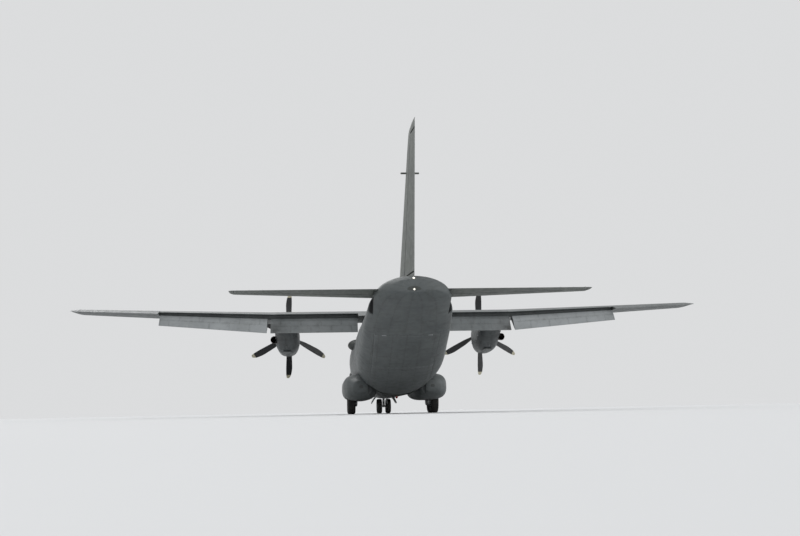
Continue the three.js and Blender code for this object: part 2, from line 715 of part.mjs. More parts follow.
// Tail cone
const grownTail = loft(TAIL_SECTIONS.map((row) => tailRing(row, 3 * TOUCH)));
const tailInner = hull(TAIL_WALL).intersect(slice(AFT_END + TAIL_WALL, 20900));
const elevatorNotch = box(ELEVATOR_SPAN[0] - CLEAR, 7000, aft(19600), aft(21300), 3000, 5000);
let cone = outer.subtract(tailInner).intersect(slice(AFT_END + TOUCH, LENGTH)).subtract(grownTail);
cone = cone.subtract(elevatorNotch).subtract(mirrored(elevatorNotch));
cone = cone.subtract(bar([0, aft(AFT_END) - 50, 3700], [0, aft(AFT_END) + 200, 3700], 250, 16));
add('tail_cone', cone, 'paint');

// Fin and rudder
const finOuter = loft(FIN_SECTIONS.map((row) => finRing(row, 0)));
const finFraction = (z) => {
  const leading = between(FIN_SECTIONS, z, 1);
  const chord = between(FIN_SECTIONS, z, 2) - leading;
  return { leading, chord, thick: between(FIN_SECTIONS, z, 3) };
};
const rudderHinge = (z) => {
  const { leading, chord } = finFraction(z);
  return new THREE.Vector3(0, aft(leading + RUDDER_HINGE * chord), z);
};
const rudderRadius = (z) => {
  const { chord, thick } = finFraction(z);
  return halfThick(RUDDER_HINGE, thick) * chord * 1.03;
};
const finParts = control(finOuter, {
  hingeAt: rudderHinge,
  backAt: AFTWARD,
  upAt: SIDEWAYS,
  radiusAt: rudderRadius,
  ends: RUDDER_RANGE,
  gaps: [50, 62],
  knuckles: [0.12, 0.88],
  slab: (low, high) => box(-FAR, FAR, -FAR, FAR, low, high),
});
const dorsal = loft(DORSAL.map(([station, crest, foot]) => [
  new THREE.Vector3(foot, aft(station), 4150),
  new THREE.Vector3(foot * 0.55, aft(station), lerp(4150, crest, 0.75)),
  new THREE.Vector3(0, aft(station), crest),
  new THREE.Vector3(-foot * 0.55, aft(station), lerp(4150, crest, 0.75)),
  new THREE.Vector3(-foot, aft(station), 4150),
]));
const FIN_BOX_ENDS = [-40, -200];
const finCavity = loft(FIN_SECTIONS.slice(0, 2).map(([z, leading, trailing, thick], i) => (
  boxProfile(trailing - leading, thick)
    .map(([a, n]) => new THREE.Vector3(n, aft(leading) + a, z + FIN_BOX_ENDS[i]))
)));
const aerial = bar([-FIN_AERIAL.half, aft(20500), FIN_AERIAL.z], [FIN_AERIAL.half, aft(20500), FIN_AERIAL.z],
  FIN_AERIAL.radius, 10);
add('fin', finParts.fixed.add(dorsal).add(aerial).subtract(finCavity).subtract(grownHull), 'paint');
add('rudder', finParts.moving, 'composite');

// Wing, flaps and ailerons

function flapRing(x, grow) {
  const row = wingRow(x);
  const g = grow / row.chord;
  const upper = (along) => 4 * CAMBER * along * (1 - along) + halfThick(along, row.thick);
  const lower = (along) => 4 * CAMBER * along * (1 - along) - halfThick(along, row.thick);
  const skin = 0.007;
  const corners = [
    [FLAP_NOSE + 0.012 - g, lower(FLAP_NOSE + 0.012) - 0.05],
    [1.3, -0.3],
    [1.3, 0.3],
    [FLAP_LIP - g, upper(FLAP_LIP) + 0.05],
    [FLAP_LIP - g, upper(FLAP_LIP) - skin + g],
    [FLAP_NOSE + 0.03, upper(FLAP_NOSE + 0.03) - 0.013 + g],
    [FLAP_NOSE + 0.006 - g, 0.026],
    [FLAP_NOSE - g, 0.006],
    [FLAP_NOSE + 0.003 - g, -0.012],
  ];
  return corners.map(([along, above]) => onWing(x, along, above));
}

// A loft of flat-ended rings whose outline isn't convex
function stack(rings) {
  const count = rings[0].length;
  const spread = rings[0].map((p) => new THREE.Vector2(p.y, p.z));
  const faces = THREE.ShapeUtils.triangulateShape(spread, []);
  const points = rings.flat();
  const index = [];
  for (let k = 0; k < count; k += 1) {
    const next = (k + 1) % count;
    index.push(k, next, next + count, k, next + count, k + count);
  }
  for (const [a, b, c] of faces) {
    index.push(a, c, b);
    index.push(a + count, b + count, c + count);
  }
  const geometry = new THREE.BufferGeometry().setFromPoints(points);
  geometry.setIndex(index);
  const made = solid(geometry);
  if (made.volume() > 0) return made;
  geometry.setIndex(index.reverse());
  return solid(geometry);
}

const flapPivot = (x) => onWing(x, FLAP_PIVOT.along, FLAP_PIVOT.below);
const FLAP_ARM = { half: 16, lug: 40, pin: 18, eye: 42, swept: [0.8, 1] };

function makeFlap([from, to], gaps, arms) {
  const room = (grow, inner, outer) => stack([flapRing(from - inner, grow), flapRing(to + outer, grow)]);
  const along = flapPivot(to).sub(flapPivot(from)).normalize();
  const nested = wing.intersect(room(0, 0, 0));
  const start = flapPivot(from);
  let flap = turnAbout(nested, start.toArray(), along.toArray(), -FLAP_DOWN);
  let cove = room(CLEAR, ...gaps);
  let lugs = null;
  for (const share of arms) {
    const x = lerp(from, to, share);
    const pivot = flapPivot(x);
    const at = (shift) => pivot.clone().addScaledVector(along, shift);
    const nose = turnAboutPoint(onWing(x, FLAP_NOSE + 0.04, -0.01), start, along, -FLAP_DOWN);
    const armBar = (half, grow) => loft([-half, half].map((shift) => [
      at(shift).addScaledVector(UPWARD, -FLAP_ARM.eye - grow),
      at(shift).addScaledVector(AFTWARD, -FLAP_ARM.eye - grow),
      nose.clone().addScaledVector(along, shift).addScaledVector(UPWARD, 60 + grow),
      nose.clone().addScaledVector(along, shift).addScaledVector(AFTWARD, 90 + grow),
    ]));
    const arm = armBar(FLAP_ARM.half, 0);
    for (const share of FLAP_ARM.swept) {
      cove = cove.add(turnAbout(
        armBar(FLAP_ARM.half + CLEAR, CLEAR), start.toArray(), along.toArray(), FLAP_DOWN * share,
      ));
    }
    const hole = bar(at(-60).toArray(), at(60).toArray(), FLAP_ARM.pin + RUNNING, 12);
    flap = flap.add(arm).subtract(hole);
    const wall = FLAP_ARM.half + CLEAR;
    const plate = (shift) => loft([shift, shift + Math.sign(shift) * FLAP_ARM.lug].map((side) => [
      at(side).addScaledVector(UPWARD, -FLAP_ARM.eye),
      at(side).addScaledVector(AFTWARD, FLAP_ARM.eye),
      onWing(x, FLAP_NOSE - 0.012, -0.01).addScaledVector(along, side),
      onWing(x, 0.5, -0.01).addScaledVector(along, side),
    ]));
    const pin = bar(at(-FLAP_ARM.half - 4).toArray(), at(wall + 20).toArray(), FLAP_ARM.pin, 8);
    const lug = plate(wall).add(pin);
    lugs = lugs ? lugs.add(lug) : lug;
  }
  return { flap, room: cove, lugs };
}

function turnAboutPoint(point, centre, direction, angle) {
  return point.clone().sub(centre).applyAxisAngle(direction, angle).add(centre);
}

const inboardFlap = makeFlap(FLAP_SPANS.inboard, FLAP_END_GAPS.inboard, [0.12, 0.5]);
const outboardFlap = makeFlap(FLAP_SPANS.outboard, FLAP_END_GAPS.outboard, [0.08, 0.5, 0.92]);
// The open stretch of trailing edge between the two flaps
const flapBreak = stack([-1, 1].map((end) => (
  flapRing(WING.break.x + end * FLAP_BREAK.reach, FLAP_BREAK.clear)
)));
const aileronHinge = (x) => onWing(x, AILERON_HINGE, 0.012);
const aileronRadius = (x) => {
  const row = wingRow(x);
  return halfThick(AILERON_HINGE, row.thick) * row.chord * 1.04;
};
const wingBack = new THREE.Vector3(0, Math.cos(INCIDENCE), -Math.sin(INCIDENCE));
const wingUp = new THREE.Vector3(0, Math.sin(INCIDENCE), Math.cos(INCIDENCE));
const rolled = control(wing, {
  hingeAt: aileronHinge,
  backAt: wingBack,
  upAt: wingUp,
  radiusAt: aileronRadius,
  ends: AILERON_SPAN,
  gaps: [24, 24],
  knuckles: [0.15, 0.85],
  slab: acrossSlab,
});

const CENTRE_HALF = WING.break.x;
const portWing = rolled.fixed
  .subtract(inboardFlap.room).subtract(outboardFlap.room).subtract(flapBreak)
  .add(inboardFlap.lugs).add(outboardFlap.lugs)
  .intersect(box(0, FAR, -FAR, FAR, -FAR, FAR));
const centreHalfSlice = box(-TOUCH, CENTRE_HALF - TOUCH / 2, -FAR, FAR, -FAR, FAR);
const outerSlice = box(CENTRE_HALF + TOUCH / 2, FAR, -FAR, FAR, -FAR, FAR);
const centreHalf = portWing.intersect(centreHalfSlice);
add('wing_centre', centreHalf.add(mirrored(centreHalf)), 'paint');
addPair('wing_outer', portWing.intersect(outerSlice), 'paint');
addPair('flap_inboard', inboardFlap.flap, 'paint');
addPair('flap_outboard', outboardFlap.flap, 'paint');
addPair('aileron', rolled.moving, 'composite');

// Fairing where the wing sits on the hull
const FAIRING_SECTIONS = [
  // station, half width, top, widest height, bottom, squareness
  [5950, 500, 4240, 4120, 3900, 2],
  [6500, 900, 4430, 4130, 3750, 2],
  [7150, 1230, 4620, 4130, 3650, 2],
  [9700, 1280, 4600, 4130, 3650, 2],
  [10700, 1050, 4500, 4130, 3700, 2],
  [11900, 420, 4270, 4140, 3950, 2],
];
const fairing = loft(FAIRING_SECTIONS.map((row) => hullRing(row, 0, 0, 20)))
  .subtract(grownHull).subtract(grownWing);
add('wing_fairing', fairing, 'composite');

// Floor, cockpit and seats

const floorEdge = hull(WALL + TOUCH);
const floorShape = prism('x', [
  [aft(FLOOR_START), FLOOR_TOP - FLOOR_DEPTH],
  [aft(CENTRE_END) - 60, FLOOR_TOP - FLOOR_DEPTH],
  [aft(CENTRE_END) - 6, FLOOR_TOP],
  [aft(FLOOR_START), FLOOR_TOP],
], -1800, 1800);
const rampKnuckles = RAMP_HINGE.knuckles.map((x) => knuckle(
  new THREE.Vector3(x, aft(RAMP_HINGE.station), RAMP_HINGE.z), SIDEWAYS, AFTWARD, 0,
));
const [cargoFloor, ramp] = hang(floorShape.intersect(floorEdge), bareRamp, rampKnuckles);
add('cargo_floor', cargoFloor, 'interior');
add('ramp', ramp, 'paint');

const BULKHEAD = { thick: 60, doorHalf: 330, doorTop: 3750 };
const deck = box(-FAR, FAR, aft(DECK_START), aft(COCKPIT_END), COCKPIT_FLOOR - BULKHEAD.thick, COCKPIT_FLOOR);
const bulkhead = box(-FAR, FAR, aft(COCKPIT_END - BULKHEAD.thick), aft(COCKPIT_END), FLOOR_TOP, FAR);
const doorway = box(-BULKHEAD.doorHalf, BULKHEAD.doorHalf, aft(COCKPIT_END - 2 * BULKHEAD.thick),
  aft(COCKPIT_END + BULKHEAD.thick), COCKPIT_FLOOR, BULKHEAD.doorTop);
add('cockpit_floor', deck.add(bulkhead).subtract(doorway).intersect(floorEdge), 'interior');

const panelShape = prism('x', [
  [aft(1690), COCKPIT_FLOOR + 500],
  [aft(2120), COCKPIT_FLOOR + 500],
  [aft(2010), COCKPIT_FLOOR + 960],
  [aft(1700), COCKPIT_FLOOR + 930],
], -1000, 1000);
const pedestal = prism('x', [
  [aft(1900), COCKPIT_FLOOR + TOUCH],
  [aft(3000), COCKPIT_FLOOR + TOUCH],
  [aft(3000), COCKPIT_FLOOR + 430],
  [aft(2050), COCKPIT_FLOOR + 560],
  [aft(1900), COCKPIT_FLOOR + 560],
], -170, 170);
const glassRoom = hull(GLASS_INSET + GLASS_THICK + 40);
add('instrument_panel', panelShape.add(pedestal).intersect(glassRoom.intersect(floorEdge)), 'seat');

const SEAT = { x: 560, station: 2750, half: 240, cushion: 430, back: 1120 };
const seatSide = prism('x', [
  [aft(SEAT.station - 230), COCKPIT_FLOOR + SEAT.cushion - 110],
  [aft(SEAT.station + 250), COCKPIT_FLOOR + SEAT.cushion - 140],
  [aft(SEAT.station + 400), COCKPIT_FLOOR + SEAT.back],
  [aft(SEAT.station + 300), COCKPIT_FLOOR + SEAT.back],
  [aft(SEAT.station + 170), COCKPIT_FLOOR + SEAT.cushion],
  [aft(SEAT.station - 230), COCKPIT_FLOOR + SEAT.cushion],
], SEAT.x - SEAT.half, SEAT.x + SEAT.half);
const seatPost = box(SEAT.x - 130, SEAT.x + 130, aft(SEAT.station - 140), aft(SEAT.station + 140),
  COCKPIT_FLOOR + TOUCH, COCKPIT_FLOOR + SEAT.cushion - 60);
addPair('pilot_seat', seatSide.add(seatPost), 'seat');

// Sponsons with open wheel bays

const sponsonRing = ([station, half, high]) => {
  const ring = [];
  for (let k = 0; k < SPONSON.sides; k += 1) {
    const angle = (2 * Math.PI * (k + 0.5)) / SPONSON.sides;
    ring.push(new THREE.Vector3(
      SPONSON.x + half * power(Math.cos(angle), 2 / SPONSON.power),
      aft(station),
      SPONSON.z + high * power(Math.sin(angle), 2 / SPONSON.power),
    ));
  }
  return ring;
};
const mainBay = box(MAIN_BAY.inner, MAIN_BAY.outer, aft(MAIN_BAY.start), aft(MAIN_BAY.end), 0, MAIN_BAY.roof);
const sponsonOuter = loft(SPONSON_SECTIONS.map(([station, half, high]) => sponsonRing([station, half, high])))
  .subtract(grownHull);
const sponsonHollow = loft(SPONSON_SECTIONS.slice(1, -1).map(([station, half, high]) => sponsonRing(
  [station, half - SPONSON.wall, high - SPONSON.wall],
))).subtract(hull(-SPONSON.wall));
const grownBay = box(MAIN_BAY.inner - SPONSON.wall, MAIN_BAY.outer + SPONSON.wall,
  aft(MAIN_BAY.start) - SPONSON.wall, aft(MAIN_BAY.end) + SPONSON.wall, 0, MAIN_BAY.roof + SPONSON.wall);
const bayDrain = bar([1800, aft(MAIN_BAY.start) - 200, 900], [1800, aft(MAIN_BAY.start) + 50, 900], 60, 8);
const rampSide = box(0, RAMP_HALF + 12, aft(CENTRE_END) - 10, aft(13000), 0, 2000);
addPair('sponson', sponsonOuter.subtract(sponsonHollow.subtract(grownBay)).subtract(mainBay)
  .subtract(bayDrain).subtract(rampSide), 'paint');

// Nacelles, engines and propellers

const nacelleLoft = (inset, rows = NACELLE_SECTIONS, sides = 20) => (
  loft(rows.map((row) => hullRing(row, inset, PROP_X, sides)))
);
const shaftHole = bar([PROP_X, aft(5200), PROP_Z], [PROP_X, aft(5400), PROP_Z], SHAFT_RADIUS + 40, 14);
const chinIntake = prism('y', [
  [PROP_X - CHIN.width, CHIN.high - 120],
  [PROP_X - CHIN.width + 90, CHIN.low + 90],
  [PROP_X + CHIN.width - 90, CHIN.low + 90],
  [PROP_X + CHIN.width, CHIN.high - 120],
  [PROP_X + CHIN.width - 60, CHIN.high],
  [PROP_X - CHIN.width + 60, CHIN.high],
], aft(5200), aft(5275 + CHIN.depth));
const engineRoom = nacelleLoft(NACELLE_WALL, NACELLE_SECTIONS.slice(0, -1), 14)
  .intersect(slice(5275 + NACELLE_WALL, 8900));
const nacelle = nacelleLoft(0).subtract(engineRoom).subtract(shaftHole).subtract(chinIntake)
  .subtract(grownWing);
addPair('nacelle', nacelle, 'paint');

const ENGINE = { start: 5480, end: 7250, radius: 330, z: 3800 };
const engineCase = bar([PROP_X, aft(ENGINE.start), ENGINE.z], [PROP_X, aft(ENGINE.end), ENGINE.z],
  ENGINE.radius, 12);
const gearbox = bar([PROP_X, aft(5275 + 8), PROP_Z], [PROP_X, aft(ENGINE.start + 100), PROP_Z],
  SHAFT_RADIUS + 40 - TOUCH, 14);
const shaft = bar([PROP_X, aft(5000), PROP_Z], [PROP_X, aft(ENGINE.start + 50), PROP_Z], SHAFT_RADIUS, 14);
addPair('engine', engineCase.add(gearbox).add(shaft).subtract(grownWing), 'metal');

const EXHAUST = {
  station: 7250, x: PROP_X + 440, z: 3560, radius: 165, length: 620, wall: 8,
  out: 150, drop: 70, closed: 0.15,
};
const exhaustEnd = [EXHAUST.x + EXHAUST.out, aft(EXHAUST.station + EXHAUST.length), EXHAUST.z - EXHAUST.drop];
const exhaustStart = [EXHAUST.x, aft(EXHAUST.station), EXHAUST.z];
const stub = (radius, from, to) => bar(from, to, radius, 16);
const farEnd = exhaustEnd.map((value, i) => value + (value - exhaustStart[i]));
const boreStart = exhaustEnd.map((value, i) => lerp(exhaustStart[i], value, EXHAUST.closed));
const exhaustPipe = stub(EXHAUST.radius, exhaustStart, exhaustEnd)
  .subtract(stub(EXHAUST.radius - EXHAUST.wall, boreStart, farEnd))
  .subtract(nacelleLoft(-TOUCH));
addPair('exhaust', exhaustPipe, 'hot');

// Each blade leans back from the disc by its pitch, along a radius that points down at rest
const BLADE_SIDES = 6;
function bladeRing([radius, chord, thick, pitch, sweep]) {
  const turn = THREE.MathUtils.degToRad(pitch);
  const ring = [];
  for (let k = 0; k < BLADE_SIDES; k += 1) {
    const angle = (2 * Math.PI * k) / BLADE_SIDES;
    const across = (chord / 2) * Math.cos(angle) + sweep;
    const deep = (thick / 2) * Math.sin(angle);
    ring.push(new THREE.Vector3(
      across * Math.cos(turn) + deep * Math.sin(turn),
      across * Math.sin(turn) - deep * Math.cos(turn),
      -radius,
    ));
  }
  return ring;
}
const blade = loft(BLADE_SECTIONS.map(bladeRing));
let rotor = bar([0, -95, 0], [0, 95, 0], 225, 18);
for (let k = 0; k < BLADES; k += 1) rotor = rotor.add(blade.rotate([0, (360 / BLADES) * k, 0]));
rotor = rotor.subtract(bar([0, -200, 0], [0, 200, 0], SHAFT_RADIUS + RUNNING, BORE_SIDES));
const hubPlate = bar([0, 90, 0], [0, SPINNER_END - PROP_STATION, 0], SHAFT_RADIUS + 60, 14)
  .subtract(bar([0, 0, 0], [0, 300, 0], SHAFT_RADIUS + RUNNING, BORE_SIDES));
const propeller = rotor.add(hubPlate).translate([PROP_X, aft(PROP_STATION), PROP_Z]);
add('propeller_port', propeller, 'blade');
add('propeller_starboard', propeller.translate([-2 * PROP_X, 0, 0]), 'blade');

const spinnerLength = SPINNER_END - SPINNER_START;
const SPINNER_STEPS = 5;
const spinnerOutline = [[0, 0]];
for (let k = 1; k <= SPINNER_STEPS; k += 1) {
  const share = k / SPINNER_STEPS;
  spinnerOutline.push([SPINNER_RADIUS * Math.sqrt(1 - (1 - share) ** 2.4), share * spinnerLength]);
}
spinnerOutline.push([0, spinnerLength]);
const SPINNER_TURN = 7;
const spinnerRoom = bar([0, -120, 0], [0, 300, 0], 262, 18).add(bar([0, -420, 0], [0, -100, 0], 150, 12))
  .rotate([0, SPINNER_TURN, 0]);
const spinnerShell = turned(spinnerOutline, 'y', [0, SPINNER_START - PROP_STATION, 0], 20)
  .subtract(spinnerRoom);
const bladeRoot = bar([0, 0, 0], [0, 0, -500], 128, 10);
let spinner = spinnerShell;
for (let k = 0; k < BLADES; k += 1) spinner = spinner.subtract(bladeRoot.rotate([0, (360 / BLADES) * k, 0]));
const spinnerPlate = bar([0, 95 + TOUCH, 0], [0, 116, 0], SPINNER_RADIUS - 40, 18)
  .subtract(bar([0, 0, 0], [0, 300, 0], SHAFT_RADIUS + 60 + TOUCH, 14));
spinner = spinner.add(spinnerPlate).translate([PROP_X, aft(PROP_STATION), PROP_Z]);
add('spinner_port', spinner, 'composite');
add('spinner_starboard', spinner.translate([-2 * PROP_X, 0, 0]), 'composite');

// Wheels

// A tyre's closed outline, from one bead round the tread to the other
const TYRE_SIDES = 24;
function tyre({ radius, width }, rim) {
  const half = width / 2;
  const outline = [
    [rim, -half * 0.75],
    [rim + (radius - rim) * 0.55, -half],
    [radius, -half * 0.62],
    [radius, half * 0.62],
    [rim + (radius - rim) * 0.55, half],
    [rim, half * 0.75],
    [rim, -half * 0.75],
  ];
  return turned(outline, 'x', [0, 0, 0], TYRE_SIDES);
}

// A dished rim with a bore for its axle
function rimSolid(rim, half, bore) {
  const outline = [
    [bore, -half * 0.5],
    [rim * 0.6, -half * 0.5],
    [rim - TOUCH, -half * 0.8],
    [rim - TOUCH, half * 0.8],
    [rim * 0.6, half * 0.5],
    [bore, half * 0.5],
    [bore, -half * 0.5],
  ];
  return turned(outline, 'x', [0, 0, 0], TYRE_SIDES);
}

// Nose gear: a fixed leg, a steered fork with its axle, and twin wheels on it
const NOSE_AXLE = { radius: 34, z: NOSE_WHEEL.radius };
const NOSE_RIM = 190;
const noseY = aft(NOSE_WHEEL.station);
const LEG = { radius: 82, low: 860, piston: 56, collar: 108 };
const trunnion = bar([-BAY_HALF + TOUCH, noseY, 1440], [BAY_HALF - TOUCH, noseY, 1440], 55, 10);
const DRAG = { station: 3620, z: 1440, radius: 34 };
const dragBrace = bar([0, noseY, 980], [0, aft(DRAG.station), DRAG.z], DRAG.radius, 8)
  .add(bar(
    [-BAY_HALF + TOUCH, aft(DRAG.station), DRAG.z],
    [BAY_HALF - TOUCH, aft(DRAG.station), DRAG.z],
    DRAG.radius,
    10,
  ));
const noseLeg = bar([0, noseY, LEG.low], [0, noseY, 1540], LEG.radius, 14).add(trunnion).add(dragBrace)
  .subtract(bar([0, noseY, LEG.low - 10], [0, noseY, 1300], LEG.piston + RUNNING, BORE_SIDES));
add('nose_leg', noseLeg, 'gear');
const torqueArm = bar([0, noseY + 70, LEG.low - 50], [0, noseY + 210, 640], 22, 8)
  .add(bar([0, noseY + 210, 640], [0, noseY + 40, 470], 22, 8));
const noseFork = bar([0, noseY, 330], [0, noseY, 1290], LEG.piston, 14)
  .add(bar([0, noseY, LEG.low - 80], [0, noseY, LEG.low - CLEAR], LEG.collar, 14))
  .add(torqueArm)
  .add(bar([-60, noseY, NOSE_AXLE.z], [60, noseY, NOSE_AXLE.z], 62, 14))
  .subtract(bar([-80, noseY, NOSE_AXLE.z], [80, noseY, NOSE_AXLE.z], NOSE_AXLE.radius + RUNNING, BORE_SIDES));
add('nose_fork', noseFork, 'gear');

const noseHalf = NOSE_WHEEL.apart / 2;
const noseRim = rimSolid(NOSE_RIM, NOSE_WHEEL.width / 2, 0);
const noseRims = noseRim.translate([noseHalf, 0, 0]).add(noseRim.translate([-noseHalf, 0, 0]))
  .add(bar([-noseHalf, 0, 0], [noseHalf, 0, 0], NOSE_AXLE.radius, 16))
  .translate([0, noseY, NOSE_AXLE.z]);
add('nose_rims', noseRims, 'metal');
for (const [side, name] of [[1, 'port'], [-1, 'starboard']]) {
  const place = [side * noseHalf, noseY, NOSE_AXLE.z];
  add(`nose_tyre_${name}`, tyre(NOSE_WHEEL, NOSE_RIM).translate(place), 'rubber');
}

// Nose gear doors hang open beside the leg
const doorTurn = THREE.MathUtils.degToRad(NOSE_DOOR.splay);
const doorTop = 845;
const NOSE_DOOR_X = BAY_HALF + 8;
const doorPoint = (down, out) => [
  NOSE_DOOR_X + down * Math.sin(doorTurn) + out * Math.cos(doorTurn),
  doorTop - down * Math.cos(doorTurn) + out * Math.sin(doorTurn),
];
const noseDoor = prism('y', [
  doorPoint(0, 0),
  doorPoint(NOSE_DOOR.drop * 0.5, 22),
  doorPoint(NOSE_DOOR.drop, 0),
  doorPoint(NOSE_DOOR.drop, NOSE_DOOR.thick),
  doorPoint(NOSE_DOOR.drop * 0.5, NOSE_DOOR.thick + 22),
  doorPoint(-20, NOSE_DOOR.thick),
], aft(NOSE_DOOR.start), aft(NOSE_DOOR.end)).subtract(grownHull);
addPair('nose_gear_door', noseDoor, 'paint');

// Main gear: on each side two levered legs on one beam inside the sponson
const MAIN_RIM = 240;
const MAIN_AXLE = { radius: 48, z: MAIN_WHEEL.radius };
const legX = MAIN_WHEEL.x - MAIN_WHEEL.width / 2 - 55;
const beam = box(MAIN_BAY.inner + TOUCH, legX + 30, aft(MAIN_BAY.start) + TOUCH, aft(MAIN_BAY.end) - TOUCH,
  1060, 1180);
let mainLegs = beam;
for (const station of MAIN_WHEEL.stations) {
  const pivot = [legX, aft(station - 300), 1000];
  const axle = [legX, aft(station), MAIN_AXLE.z];
  mainLegs = mainLegs
    .add(bar(pivot, axle, 44, 8))
    .add(box(legX - 45, legX + 45, aft(station - 350), aft(station - 250), 960, 1100))
    .add(bar(axle, [legX, aft(station + 60), 1100], 38, 8))
    .add(bar([legX - 40, aft(station), MAIN_AXLE.z], [legX + 50, aft(station), MAIN_AXLE.z], 78, 10))
    .add(bar([legX, aft(station), MAIN_AXLE.z], [MAIN_WHEEL.x + 130, aft(station), MAIN_AXLE.z],
      MAIN_AXLE.radius, 12));
}
addPair('main_gear_legs', mainLegs, 'gear');
const mainRim = rimSolid(MAIN_RIM, MAIN_WHEEL.width / 2, MAIN_AXLE.radius + RUNNING);
MAIN_WHEEL.stations.forEach((station, i) => {
  const place = [MAIN_WHEEL.x, aft(station), MAIN_AXLE.z];
  const row = i ? 'aft' : 'fore';
  addPair(`main_rim_${row}`, mainRim.translate(place), 'metal');
  addPair(`main_tyre_${row}`, tyre(MAIN_WHEEL, MAIN_RIM).translate(place), 'rubber');
});

export default group;
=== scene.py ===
"""Looks for a high-wing twin-turboprop transport aircraft on its gear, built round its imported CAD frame."""

import math

import bmesh
import bpy
from mathutils import Matrix, Vector


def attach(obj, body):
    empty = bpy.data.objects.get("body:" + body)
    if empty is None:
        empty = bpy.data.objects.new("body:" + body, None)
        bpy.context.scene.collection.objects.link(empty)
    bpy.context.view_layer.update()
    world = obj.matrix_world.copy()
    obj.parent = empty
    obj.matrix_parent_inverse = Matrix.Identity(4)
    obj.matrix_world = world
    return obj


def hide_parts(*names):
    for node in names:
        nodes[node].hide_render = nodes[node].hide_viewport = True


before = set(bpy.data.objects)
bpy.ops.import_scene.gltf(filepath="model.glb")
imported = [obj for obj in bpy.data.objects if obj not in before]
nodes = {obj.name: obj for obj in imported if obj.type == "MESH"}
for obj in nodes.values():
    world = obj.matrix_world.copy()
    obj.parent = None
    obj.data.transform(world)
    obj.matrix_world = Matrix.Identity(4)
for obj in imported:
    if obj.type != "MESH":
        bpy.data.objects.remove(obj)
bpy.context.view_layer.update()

# Sizes, in millimetres. The nose points to -Y, port is +X, and a station is a distance aft of the nose tip.

MM = 0.001
LENGTH = 22700
CLEAR = 8
RADOME_END, FORWARD_END, CENTRE_END, AFT_END = 1050, 5200, 12400, 18350
HULL = [
    # station, half width, top, widest height, bottom, squareness of the lower half
    [0, 60, 2140, 2080, 2020, 2],
    [70, 215, 2300, 2090, 1890, 2],
    [260, 405, 2470, 2105, 1690, 2],
    [600, 610, 2660, 2130, 1480, 2],
    [1050, 850, 2880, 2170, 1270, 2],
    [1600, 1100, 3110, 2240, 1060, 2],
    [2100, 1290, 3600, 2320, 930, 2],
    [2550, 1430, 3960, 2380, 845, 2],
    [3150, 1580, 4165, 2440, 770, 2],
    [4000, 1715, 4255, 2490, 735, 2],
    [5200, 1775, 4275, 2500, 725, 2],
    [12400, 1775, 4275, 2500, 725, 2],
    [13400, 1775, 4290, 2530, 985, 2.4],
    [14500, 1775, 4325, 2640, 1330, 3],
    [16500, 1680, 4400, 2900, 2110, 3.2],
    [18350, 1580, 4490, 3240, 2860, 3],
    [20200, 1420, 4600, 3800, 3560, 2.6],
    [20900, 1230, 4620, 4020, 3800, 2.4],
    [21180, 800, 4480, 4120, 3980, 2],
]
FRONT_PANES = [
    [(-215, 3150), (215, 3150), (215, 3720), (-215, 3720)],
    [(285, 3130), (870, 3010), (820, 3440), (285, 3710)],
    [(-870, 3010), (-285, 3130), (-285, 3710), (-820, 3440)],
]
SIDE_PANES = [
    [(2060, 2850), (2620, 2850), (2620, 3420), (2480, 3420), (2060, 3040)],
    [(2690, 2850), (3180, 2900), (3130, 3420), (2690, 3420)],
]
# Doors: start and end station, bottom and top
CREW_DOOR = (4150, 4850, 1365, 2900)
TROOP_DOOR = (12650, 13520, 1500, 3300)
# Portholes: station, height and radius; the hold has them on both sides, except where the blister is
CREW_PORTHOLE, DOOR_PORTHOLE = (4500, 2560, 115), (13085, 2830, 140)
PORT_HEIGHT, PORT_RADIUS, AFT_PORTHOLE = 2930, 150, 14300
HOLD_PORTHOLES, BLISTER_PORTHOLE = (5850, 6950, 10150, 11150, 12050), (1, 10150)
# How far the panes are cut: stations ahead, and distances from the middle at the sides
PANE_FRONT, PANE_SIDE = (1250, 2480), (900, 2100)
WALL, RADOME_WALL, AFT_WALL, CONE_WALL = 110, 62, 62, 40
RAMP_HALF = 1205
RAMP_END, RAMP_END_HEIGHT, RAMP_END_TOP, RAMP_SLOPE = 15600, 1765, 1960, 0.55
FLOOR_TOP = 1350
CARGO_DOOR_END = 18190
# Where the ramp's nose swings, how far it is set in, and the belly's skin and gap there
RAMP_SWING, RAMP_INSET, BELLY_SKIN, BELLY_GAP, CARGO_DOOR_GAP = 345, 38, 8, 66, 26
# Hinges: station and height of the axis, then where across it the knuckles are
RAMP_HINGE, RAMP_KNUCKLES = (12400, 1326), (-900, 900)
DOOR_HINGE, DOOR_KNUCKLES = (18185, 2830), (-850, 850)
WING = [
    # span, leading station, chord, height, thickness ratio
    [0, 7050, 3400, 4480, 0.15],
    [5450, 7050, 3400, 4480, 0.15],
    [13950, 7583, 1762, 4851, 0.13],
    [14350, 8020, 1120, 4869, 0.08],
]
TIP_CURVE = 1.7
INCIDENCE = math.radians(2.7)
CAMBER = 0.018
WING_JOINT = WING[1][0]
# Where a flap starts under and over, its lip's thickness and its pivot, as shares of the chord
FLAP_NOSE, FLAP_LIP, FLAP_SKIN = 0.715, 0.815, 0.007
FLAP_DOWN = math.radians(40)
FLAP_PIVOT = (0.685, -0.052)
# Flaps: start and end across the wing, then where along them the arms are
FLAPS = {"inboard": (1520, 5385, [0.12, 0.5]), "outboard": (5515, 10320, [0.08, 0.5, 0.92])}
FLAP_END_GAP = 24
AILERON_GAP = 24
AILERON = (10380, 13930)
